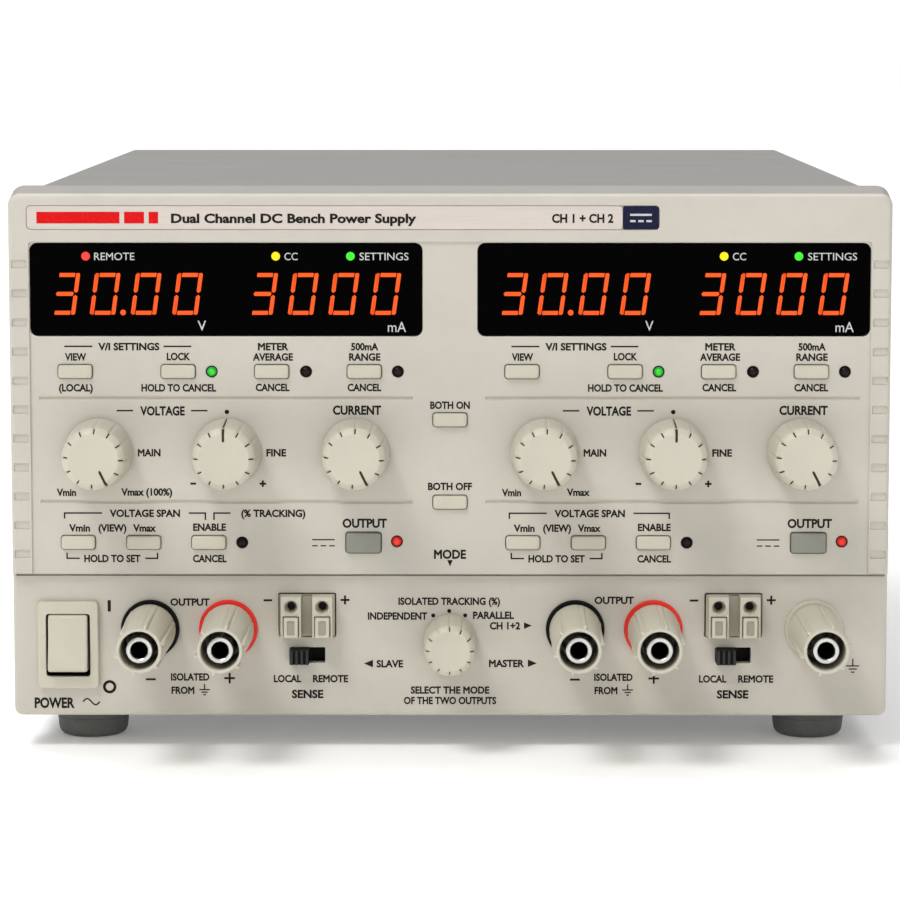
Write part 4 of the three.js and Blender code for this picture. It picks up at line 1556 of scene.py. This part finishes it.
def build_legends(finishes, sizes):
    black_ink = printed("legend_ink", finishes.ink[:]).material
    panel_ink = Printer(PANEL, sizes.ink_thickness)
    for number, x in CHANNELS.items():
        print_channel(panel_ink, number, x)
    for text, x, z, width, cap in CENTRE_WORDS:
        panel_ink.words(text, x, z, width, cap)
    panel_ink.arrow(0, 45.9, 1.6, pi)
    panel_ink.place("panel_legends", black_ink, "bezel_plastic")
    terminal_ink = Printer(TERMINAL, sizes.ink_thickness)
    print_terminals(terminal_ink)
    terminal_ink.place("terminal_legends", black_ink, "bezel_plastic")
    strip = FRONT + 0.1
    title = Printer(strip, sizes.ink_thickness)
    title.words("Dual Channel DC Bench Power Supply", -37.6, 129.7, 59, 2.45)
    title.words("CH 1 + CH 2", 31.9, 129.7, 14.8, 2.3)
    title.place("title_legend", black_ink, "bezel_plastic")
    mark = Printer(strip, sizes.ink_thickness)
    for low, high in ((-99.5, -79.5), (-78.4, -73.6), (-72.5, -70.2)):
        mark.shape([(low, 128.4), (high, 128.4), (high, 131.2), (low, 131.2)])
    mark.place("title_bar", printed("accent_ink", finishes.accent[:]).material, "terminal_red")
    pale_ink = printed("pale_ink", (0.52, 0.52, 0.52)).material
    sign = Printer(strip, sizes.ink_thickness)
    sign.direct(43.3, 48.5, 129.75, 0.5)
    sign.place("title_sign", pale_ink, "bezel_plastic")
    window = Printer(limits("display_window_1")[0].y, 0.03)
    for number, x in CHANNELS.items():
        if number == 1:
            window.words("REMOTE", x - 26.9, 120.5, 9.7, 1.9, 0)
        window.words("CC", x + 15.7, 120.5, 3.2, 1.9, 0)
        window.words("SETTINGS", x + 38.1, 120.5, 11.8, 1.9, 0)
        window.words("V", x - 5.9, 103.8, 2.0, 2.6, 0)
        window.words("mA", x + 41.2, 103.5, 4.4, 2.6, 0)
    window.place("window_words", pale_ink, "window_acrylic")


# ---- Case ----


def screw_shape(radius):
    """A cross-head pan screw on the origin, facing +Z, as a mesh in millimetres."""
    bm = bmesh.new()
    height = radius * 0.62
    rows = [(0, height)]
    rows += [(radius * sin(a), height * (0.25 + 0.75 * cos(a))) for a in (0.35, 0.7, 1.0, 1.25, 1.45)]
    rows += [(radius, height * 0.25), (radius, 0), (0, 0)]
    turned(bm, rows, (0, 0), 32, axis="Z")
    head = new_object("screw", bm, [])
    cutters = bmesh.new()
    arm = radius * 0.56
    width = radius * 0.15
    for x, y in ((arm, width), (width, arm)):
        outline = [(-x, -y), (x, -y), (x, y), (-x, y)]
        foot = [(a * 0.6, b * 0.6) for a, b in outline]
        stack(cutters, [(height * 0.35, foot), (height * 1.3, outline)], axis="Z")
    carve(head, cutters)
    mesh = head.data
    bpy.data.objects.remove(head)
    for vert in mesh.vertices:
        vert.co /= MM
    return mesh


def build_screws(name, radius, seats, material):
    """Screws at a list of (place, direction they face)."""
    shape = screw_shape(radius)
    bm = bmesh.new()
    for count, (seat, facing) in enumerate(seats):
        known = len(bm.verts)
        bm.from_mesh(shape)
        bm.verts.ensure_lookup_table()
        turn = Vector((0, 0, 1)).rotation_difference(Vector(facing)).to_matrix().to_4x4()
        spin = Matrix.Rotation(0.5 + 1.1 * count, 4, "Z")
        bmesh.ops.transform(bm, matrix=Matrix.Translation(seat) @ turn @ spin, verts=bm.verts[known:])
    bpy.data.meshes.remove(shape)
    place(new_object(name, bm, [material]), "tray_steel", crease=35)


def build_cover(finishes, sizes):
    """The folded cover with its rounded folds and the vents in its sides."""
    half, top, bottom = COVER_HIGH.x, COVER_HIGH.z, COVER_LOW.z
    sheet, bend = 1.2, 2.2
    outline = []
    for offset, radius, order in ((0, bend, 1), (sheet, bend - sheet, -1)):
        x, z = half - offset, top - offset
        side = [(x, bottom)]
        for step in range(9):
            a = step * pi / 16
            side.append((x - radius + radius * cos(a), z - radius + radius * sin(a)))
        side += [(-a, b) for a, b in reversed(side)]
        outline += side[::order]
    bm = bmesh.new()
    stack(bm, [(COVER_LOW.y, outline), (COVER_HIGH.y, outline)])
    cover = new_object("case_cover", bm, [])
    cutters = bmesh.new()
    for side in (-1, 1):
        for i in range(9):
            y = REAR - 90 + i * 8 + 1.5
            slot = rounded((y - 1.5, y + 1.5), (40, 100), 1.49, 6)
            stack(cutters, [(side * (half - 3), slot), (side * (half + 1), slot)], axis="X")
    carve(cover, cutters)
    cover.data.materials.clear()
    cover.data.materials.append(powder_coat(finishes).material)
    round_edges(cover, sizes.cover_edge)
    place(cover, "cover_paint", nodes=["top_cover"])


def build_tray(sizes):
    bm = bmesh.new()
    frame_copy(bm, "chassis_tray")
    tray = new_object("bottom_tray", bm, [zinc_plate().material])
    round_edges(tray, sizes.cover_edge * 0.6)
    place(tray, "tray_steel", nodes=["chassis_tray"])


def build_feet(finishes):
    rubber = foot_rubber(finishes).material
    for end in ("front", "rear"):
        for side in ("left", "right"):
            node = f"foot_{end}_{side}"
            high = limits(node)[1]
            centre = middle(node)
            radius = extent(node).x / 2
            bm = bmesh.new()
            profile = [
                (0, FOOT_WELL), (2.9, FOOT_WELL), (2.9, 0.5), (3.3, 0.06), (3.6, 0), (radius - 2.6, 0)
            ]
            profile += [
                (radius - 2.6 + 2.2 * sin(a), 2.2 - 2.2 * cos(a)) for a in (0.3, 0.6, 0.9, 1.2, pi / 2)
            ]
            profile += [
                (radius - 0.15, 4.6), (radius - 0.3, 4.8), (radius - 0.12, 5.05), (radius, high.z - 0.5)
            ]
            profile += [(radius - 0.2, high.z), (0, high.z)]
            turned(bm, profile, (centre.x, centre.y), 64, axis="Z")
            place(new_object(f"{node}_rubber", bm, [rubber]), "foot_rubber", nodes=[node], crease=40)


def build_case_screws():
    steel = screw_steel().material
    half = COVER_HIGH.x
    seats = []
    for side in (-1, 1):
        for y in (COVER_LOW.y + 18, (COVER_LOW.y + COVER_HIGH.y) / 2, COVER_HIGH.y - 18):
            seats.append(((side * half, y, COVER_LOW.z + 7), (side, 0, 0)))
    build_screws("cover_screws", 2.9, seats, steel)
    seats = []
    for end in ("front", "rear"):
        for side in ("left", "right"):
            centre = middle(f"foot_{end}_{side}")
            seats.append(((centre.x, centre.y, FOOT_WELL), (0, 0, -1)))
    build_screws("foot_screws", 2.4, seats, steel)
    panel = limits("rear_panel")
    inset = 7
    corners = [(x, REAR, z) for x in (panel[0].x + inset, panel[1].x - inset) for z in (panel[0].z + 4, 52)]
    build_screws("rear_screws", 2.4, [(corner, (0, 1, 0)) for corner in corners], steel)


# ---- Rear ----


def build_rear_panel(finishes, sizes):
    bm = bmesh.new()
    frame_copy(bm, "rear_panel")
    panel = new_object("rear_plate", bm, [powder_coat(finishes).material])
    round_edges(panel, sizes.cover_edge)
    place(panel, "cover_paint", nodes=["rear_panel"])


def build_heat_sink(sizes):
    """Fins with round tips and grooved flanks on a common base."""
    low, high = limits("heat_sink")
    count, thick, base = 19, 2.2, 3.5
    root = low.y + base
    pitch = (high.x - low.x - thick) / (count - 1)
    outline = [(high.x, low.y), (low.x, low.y)]
    for i in range(count):
        x = low.x + thick / 2 + i * pitch
        left, right = [], []
        for step in range(6):
            y = root + (high.y - thick / 2 - root) * step / 6
            ripple = 0.12 if step % 2 else -0.08
            left.append((x - thick / 2 - (0 if step == 0 and i == 0 else ripple), y))
            right.append((x + thick / 2 + (0 if step == 0 and i == count - 1 else ripple), y))
        tip = [(x + thick / 2 * cos(a), high.y - thick / 2 + thick / 2 * sin(a))
               for a in (pi, pi * 0.83, pi * 0.67, pi * 0.5, pi * 0.33, pi * 0.17, 0)]
        outline += left + tip + right[::-1]
    bm = bmesh.new()
    stack(bm, [(low.z, outline), (high.z, outline)], axis="Z")
    sink = new_object("cooling_fins", bm, [anodised().material])
    round_edges(sink, sizes.cover_edge * 0.6, angle=60)
    place(sink, "anodised_fins", nodes=["heat_sink"])


def build_inlet():
    """The mains inlet: a flange and a keyed cavity with three pins."""
    node = "mains_inlet"
    low, high = limits(node)
    centre = middle(node)
    black = black_plastic("inlet_plastic", 0.4).material
    bm = bmesh.new()

    def flange(inset):
        return block(30 - 2 * inset, 24 - 2 * inset, 2.2, 6, centre.x, centre.z)

    rows = [
        (REAR + GAP, flange(0)), (high.y - 0.5, flange(0)), (high.y - 0.12, flange(0.15)),
        (high.y, flange(0.5)),
    ]
    stack(bm, rows)
    inlet = new_object("inlet_body", bm, [])
    body = bmesh.new()
    solid_box(body, around(centre.x, 27), (low.y, high.y - 1), around(centre.z, 20))
    carve(inlet, body, join=True)
    cutters = bmesh.new()
    x0, x1 = around(centre.x, 24)
    z0, z1 = around(centre.z, 17)
    keyed = [
        (x0, z0 + 1), (x0 + 1, z0), (x1 - 1, z0), (x1, z0 + 1), (x1, z1 - 5), (x1 - 5, z1), (x0 + 5, z1)
    ]
    keyed.append((x0, z1 - 5))
    stack(cutters, [(high.y - 19, keyed), (high.y + 1, keyed)])
    carve(inlet, cutters)
    inlet.data.materials.clear()
    inlet.data.materials.append(black)
    round_edges(inlet, 0.25)
    place(inlet, "black_plastic", nodes=[node])
    pins = bmesh.new()
    for x, z in ((-7, -2), (7, -2), (0, 2)):
        pin_x, pin_z = centre.x + x, centre.z + z
        soft_box(pins, around(pin_x, 2), (high.y - 20, high.y - 2.5), around(pin_z, 4), 0.4)
    place(new_object("inlet_pins", pins, [nickel("pin_nickel").material]), "tray_steel")


def build_terminal_strips():
    """Two screw terminal strips, one for each channel's rear output."""
    black = black_plastic("strip_plastic", 0.42).material
    brass = nickel("clamp_plate", (0.68, 0.66, 0.6), 0.28).material
    seats = []
    for number, x in ((1, 14), (2, -30)):
        bm = bmesh.new()
        z = 30
        soft_box(bm, around(x, 38), (REAR + 0.02, REAR + 4.4), around(z, 15), 0.4)
        for i in range(5):
            soft_box(bm, around(x - 18.2 + i * 9.1, 1.3), (REAR + 3.5, REAR + 9), around(z, 14), 0.3)
        place(new_object(f"terminal_strip_{number}", bm, [black]), "black_plastic")
        plates = bmesh.new()
        for i in range(4):
            seat = (x - 13.65 + i * 9.1, REAR + 4.35, z)
            soft_box(plates, around(seat[0], 6.6), (REAR + 4.3, REAR + 5.1), around(z, 9), 0.2)
            seats.append(((seat[0], REAR + 5.1, z), (0, 1, 0)))
        place(new_object(f"clamp_plates_{number}", plates, [brass]), "tray_steel")
    build_screws("strip_screws", 2.6, seats, screw_steel().material)


def build_port():
    """A nine-pin serial port: a plated shell round its pins, on a flange with two hexagon posts."""
    x, z = 52, 30
    steel = zinc_plate().material
    bm = bmesh.new()
    soft_box(bm, around(x, 30.8), (REAR + 0.02, REAR + 0.9), around(z, 12.5), 0.3)

    def shell(inset):
        wide, narrow, tall = 9.2 - inset, 8.0 - inset, 4.2 - inset
        return [(x + wide, z + tall), (x - wide, z + tall), (x - narrow, z - tall), (x + narrow, z - tall)]

    rings = []
    for y, inset in (
        (REAR + 0.5, 0), (REAR + 5.6, 0), (REAR + 5.9, 0.15), (REAR + 5.9, 0.4), (REAR + 0.9, 0.4)
    ):
        rings.append([bm.verts.new((a, y, b)) for a, b in shell(inset)])
    bridge(bm, rings, closed=True)
    for side in (-1, 1):
        hexagon = [(x + side * 12.5 + 2.6 * cos(a * pi / 3), z + 2.6 * sin(a * pi / 3)) for a in range(6)]
        stack(bm, [(REAR + 0.5, hexagon), (REAR + 5.2, hexagon)])
    port = new_object("port_shell", bm, [steel])
    round_edges(port, 0.12)
    place(port, "tray_steel")
    inner = bmesh.new()
    stack(inner, [(y, shell(0.45)) for y in (REAR + 0.55, REAR + 1.4)])
    place(new_object("port_insert", inner, [black_plastic("port_plastic").material]), "black_plastic")
    pins = bmesh.new()
    for row, count in ((1.42, 5), (-1.42, 4)):
        for i in range(count):
            at = x + (i - (count - 1) / 2) * 2.77
            rows = [
                (0, REAR + 5.2), (0.3, REAR + 5.1), (0.5, REAR + 4.7), (0.5, REAR + 1.3), (0, REAR + 1.3)
            ]
            turned(pins, rows, (at, z + row), 16)
    gold = nickel("pin_gold", (0.8, 0.6, 0.24), 0.22).material
    place(new_object("port_pins", pins, [gold]), "tray_steel")


def build_rear_legends(finishes, sizes):
    ink = Printer(REAR, sizes.ink_thickness, facing=1)
    ink.words("AC IN", middle("mains_inlet").x, 46, 9, 2.4)
    ink.words("OUTPUT 1", 14, 41.5, 13, 2.2)
    ink.words("OUTPUT 2", -30, 41.5, 13, 2.2)
    ink.words("SERIAL PORT", 52, 41, 17, 2.2)
    for x in (14, -30):
        for i, sign in enumerate((ink.plus, ink.plus, ink.minus, ink.minus)):
            sign(x - 13.65 + i * 9.1, 19.2)
    ink.place("rear_legends", printed("rear_ink", darker(finishes.ink, 0.8)).material, "cover_paint")


# ---- Inside the case ----


def build_inside():
    """Materials for the pieces seen through the vents, and detail on the regulator board."""
    board = circuit_board().material
    frame["nodes"]["display_board"].data.materials[0] = board
    frame["nodes"]["mains_transformer"].data.materials[0] = winding_tape().material
    low, high = limits("main_board")
    z = low.z + 8 - GAP
    bm = bmesh.new()
    soft_box(bm, (-95, 95), (22, 150), (z, z + 1.6), 0.1)
    for x in (-88, 88):
        for y in (30, 142):
            turned(bm, [(0, low.z), (3, low.z), (3, z + 0.1), (0, z + 0.1)], (x, y), 6, axis="Z", index=1)
    sleeve = printed("capacitor_sleeve", (0.012, 0.02, 0.07), 0.35).material
    relay = moulded("relay_case", screen(188, 190, 180), 0.4, 0.01).material
    for x in (-80, -50, 50, 80):
        rows = [
            (0, high.z - 0.5), (10.4, high.z - 0.5), (11.2, high.z), (12, high.z - 0.3), (12.4, high.z - 1.2)
        ]
        rows += [(12.5, z + 6), (12.1, z + 5.2), (12.5, z + 4.4), (12.5, z + 1.5), (0, z + 1.5)]
        turned(bm, rows, (x, 60), 48, axis="Z", index=2)
        soft_box(bm, around(x, 24), around(125, 12), (z + 1.5, z + 18), 0.6, index=3)
    brass = nickel("spacer_nickel").material
    place(
        new_object("regulator_board", bm, [board, brass, sleeve, relay]), "circuit_board",
        nodes=["main_board"],
    )


# ---- Stage ----


def aim(obj, target):
    direction = Vector(target) - obj.location
    obj.rotation_euler = direction.to_track_quat("-Z", "Y").to_euler()


def build_stage(stage):
    scene = bpy.context.scene
    camera = bpy.data.objects.new("camera", bpy.data.cameras.new("camera"))
    camera.data.lens = stage.lens
    camera.data.sensor_width = 36
    camera.data.clip_start = 0.05
    scene.collection.objects.link(camera)
    front = FRONT * MM
    white_light = (1, 1, 1, 1)
    lit_point = (0, front, 0.07)
    camera.location = (0.0041, front - stage.camera_distance, 0.1769)
    aim(camera, (0, front, 0.0736))
    scene.camera = camera

    bm = bmesh.new()
    bmesh.ops.create_circle(bm, cap_ends=True, segments=96, radius=stage.room / MM)
    floor = new_object("floor", bm, [])
    paper = Finish("floor_paper", stage.floor[:], 0.85, specular_ior_level=0.1,
                   emission_strength=0.115, emission_color=white_light)
    paper.tint(paper.spread(paper.noise(9, 3, 0.5), 0.4, 0.7), darker(stage.floor, 0.99))
    floor.data.materials.append(paper.material)

    # A white surround that only the camera sees; the world's even light is softer than it looks.
    bm = bmesh.new()
    bmesh.ops.create_uvsphere(bm, u_segments=48, v_segments=24, radius=stage.room / MM)
    surround = new_object("white_surround", bm, [])
    white = Finish("surround_light", (0, 0, 0), 1, specular_ior_level=0, emission_strength=1)
    white.set(white.shader, emission_color=white_light)
    surround.data.materials.append(white.material)
    surround.visible_diffuse = False
    surround.visible_glossy = False
    surround.visible_transmission = False
    surround.visible_shadow = False

    world = bpy.data.worlds.new("surround")
    world.use_nodes = True
    background = world.node_tree.nodes["Background"]
    background.inputs["Color"].default_value = white_light
    background.inputs["Strength"].default_value = stage.surround
    scene.world = world

    sun = bpy.data.lights.new("top_light", "SUN")
    sun.energy = stage.top_strength
    sun.angle = radians(50)
    lamp = bpy.data.objects.new("top_light", sun)
    lamp.location = (-0.15, front + 0.75, 1.6)
    aim(lamp, lit_point)
    scene.collection.objects.link(lamp)
    lights = [
        ("key_light", (-0.8, front - 1.0, 2.0), 0.8, stage.key_power),
        ("front_light", (0.3, front - 2.4, 0.45), 1.6, stage.front_power),
    ]
    for name, where, size, power in lights:
        light = bpy.data.lights.new(name, "AREA")
        light.shape = "SQUARE"
        light.size = size
        light.energy = power
        lamp = bpy.data.objects.new(name, light)
        lamp.location = where
        aim(lamp, lit_point)
        scene.collection.objects.link(lamp)
    scene.view_settings.view_transform = "Standard"
    scene.view_settings.look = "None"


# ---- Operators ----


class SUPPLY_OT_moulding(bpy.types.Operator):
    """Builds the front moulding and its title strip"""

    bl_idname = "supply.moulding"
    bl_label = "Front moulding"

    def execute(self, context):
        finishes = context.scene.supply_finishes
        sizes = context.scene.supply_sizes
        build_moulding(finishes, sizes)
        build_title(finishes)
        return {"FINISHED"}


class SUPPLY_OT_displays(bpy.types.Operator):
    """Builds the two display windows and what they show"""

    bl_idname = "supply.displays"
    bl_label = "Displays"

    def execute(self, context):
        finishes = context.scene.supply_finishes
        sizes = context.scene.supply_sizes
        for number in CHANNELS:
            build_display(number, finishes, sizes)
        return {"FINISHED"}


class SUPPLY_OT_lamps(bpy.types.Operator):
    """Builds the lamps beside the keys"""

    bl_idname = "supply.lamps"
    bl_label = "Lamps"

    def execute(self, context):
        build_lamps(context.scene.supply_finishes)
        return {"FINISHED"}


class SUPPLY_OT_keys(bpy.types.Operator):
    """Builds the keycaps"""

    bl_idname = "supply.keys"
    bl_label = "Keys"

    def execute(self, context):
        finishes = context.scene.supply_finishes
        cream, grey = cap_plastic(finishes).material, key_plastic(finishes).material
        for node in KEYS:
            if node.startswith("output"):
                build_key(node, grey, "output_key_plastic")
            else:
                build_key(node, cream, "cap_plastic")
        return {"FINISHED"}


class SUPPLY_OT_knobs(bpy.types.Operator):
    """Builds the control knobs and the mode knob"""

    bl_idname = "supply.knobs"
    bl_label = "Knobs"

    def execute(self, context):
        finishes = context.scene.supply_finishes
        sizes = context.scene.supply_sizes
        build_knobs(finishes, sizes)
        return {"FINISHED"}


class SUPPLY_OT_terminals(bpy.types.Operator):
    """Builds the output and ground terminals"""

    bl_idname = "supply.terminals"
    bl_label = "Output terminals"

    def execute(self, context):
        finishes = context.scene.supply_finishes
        sizes = context.scene.supply_sizes
        build_terminals(finishes, sizes)
        return {"FINISHED"}


class SUPPLY_OT_sense(bpy.types.Operator):
    """Builds the sense blocks, their levers and slide switches"""

    bl_idname = "supply.sense"
    bl_label = "Sense blocks"

    def execute(self, context):
        for number in CHANNELS:
            build_sense(number, context.scene.supply_finishes)
        return {"FINISHED"}


class SUPPLY_OT_power(bpy.types.Operator):
    """Builds the mains rocker and its housing"""

    bl_idname = "supply.power"
    bl_label = "Mains rocker"

    def execute(self, context):
        build_power_switch(context.scene.supply_finishes)
        return {"FINISHED"}


class SUPPLY_OT_legends(bpy.types.Operator):
    """Prints the words, lines and signs"""

    bl_idname = "supply.legends"
    bl_label = "Legends"

    def execute(self, context):
        finishes = context.scene.supply_finishes
        sizes = context.scene.supply_sizes
        build_legends(finishes, sizes)
        build_rear_legends(finishes, sizes)
        return {"FINISHED"}


class SUPPLY_OT_case(bpy.types.Operator):
    """Builds the cover, tray, feet and case screws"""

    bl_idname = "supply.case"
    bl_label = "Case"

    def execute(self, context):
        finishes = context.scene.supply_finishes
        sizes = context.scene.supply_sizes
        build_cover(finishes, sizes)
        build_tray(sizes)
        build_feet(finishes)
        build_case_screws()
        return {"FINISHED"}


class SUPPLY_OT_rear(bpy.types.Operator):
    """Builds the rear panel, heat sink, inlet and rear connectors"""

    bl_idname = "supply.rear"
    bl_label = "Rear"

    def execute(self, context):
        finishes = context.scene.supply_finishes
        sizes = context.scene.supply_sizes
        build_rear_panel(finishes, sizes)
        build_heat_sink(sizes)
        build_inlet()
        build_terminal_strips()
        build_port()
        return {"FINISHED"}


class SUPPLY_OT_inside(bpy.types.Operator):
    """Finishes the boards and the transformer inside the case"""

    bl_idname = "supply.inside"
    bl_label = "Inside"

    def execute(self, context):
        build_inside()
        return {"FINISHED"}


class SUPPLY_OT_stage(bpy.types.Operator):
    """Sets the floor, the lights and the camera"""

    bl_idname = "supply.stage"
    bl_label = "Stage"

    def execute(self, context):
        build_stage(context.scene.supply_stage)
        return {"FINISHED"}


OPERATORS = (
    SUPPLY_OT_moulding,
    SUPPLY_OT_displays,
    SUPPLY_OT_lamps,
    SUPPLY_OT_keys,
    SUPPLY_OT_knobs,
    SUPPLY_OT_terminals,
    SUPPLY_OT_sense,
    SUPPLY_OT_power,
    SUPPLY_OT_legends,
    SUPPLY_OT_case,
    SUPPLY_OT_rear,
    SUPPLY_OT_inside,
    SUPPLY_OT_stage,
)
SETTINGS = {"supply_finishes": SupplyFinishes, "supply_sizes": SupplySizes, "supply_stage": SupplyStage}


class SUPPLY_PT_build(bpy.types.Panel):
    """Lists the steps that build the supply"""

    bl_idname = "SUPPLY_PT_build"
    bl_label = "Bench Power Supply"
    bl_space_type = "VIEW_3D"
    bl_region_type = "UI"
    bl_category = "Supply"

    def draw(self, context):
        for settings in SETTINGS:
            column = self.layout.box().column()
            group = getattr(context.scene, settings)
            for name in group.__annotations__:
                column.prop(group, name)
        for operator in OPERATORS:
            self.layout.operator(operator.bl_idname)


def register():
    for group in SETTINGS.values():
        bpy.utils.register_class(group)
    for name, group in SETTINGS.items():
        setattr(bpy.types.Scene, name, PointerProperty(type=group))
    for operator in OPERATORS:
        bpy.utils.register_class(operator)
    bpy.utils.register_class(SUPPLY_PT_build)


def unregister():
    bpy.utils.unregister_class(SUPPLY_PT_build)
    for operator in reversed(OPERATORS):
        bpy.utils.unregister_class(operator)
    for name, group in SETTINGS.items():
        delattr(bpy.types.Scene, name)
        bpy.utils.unregister_class(group)


def main():
    register()
    bpy.ops.supply.moulding()
    bpy.ops.supply.displays()
    bpy.ops.supply.lamps()
    bpy.ops.supply.keys()
    bpy.ops.supply.knobs()
    bpy.ops.supply.terminals()
    bpy.ops.supply.sense()
    bpy.ops.supply.power()
    bpy.ops.supply.legends()
    bpy.ops.supply.case()
    bpy.ops.supply.rear()
    bpy.ops.supply.inside()
    bpy.ops.supply.stage()


if __name__ == "__main__":
    main()
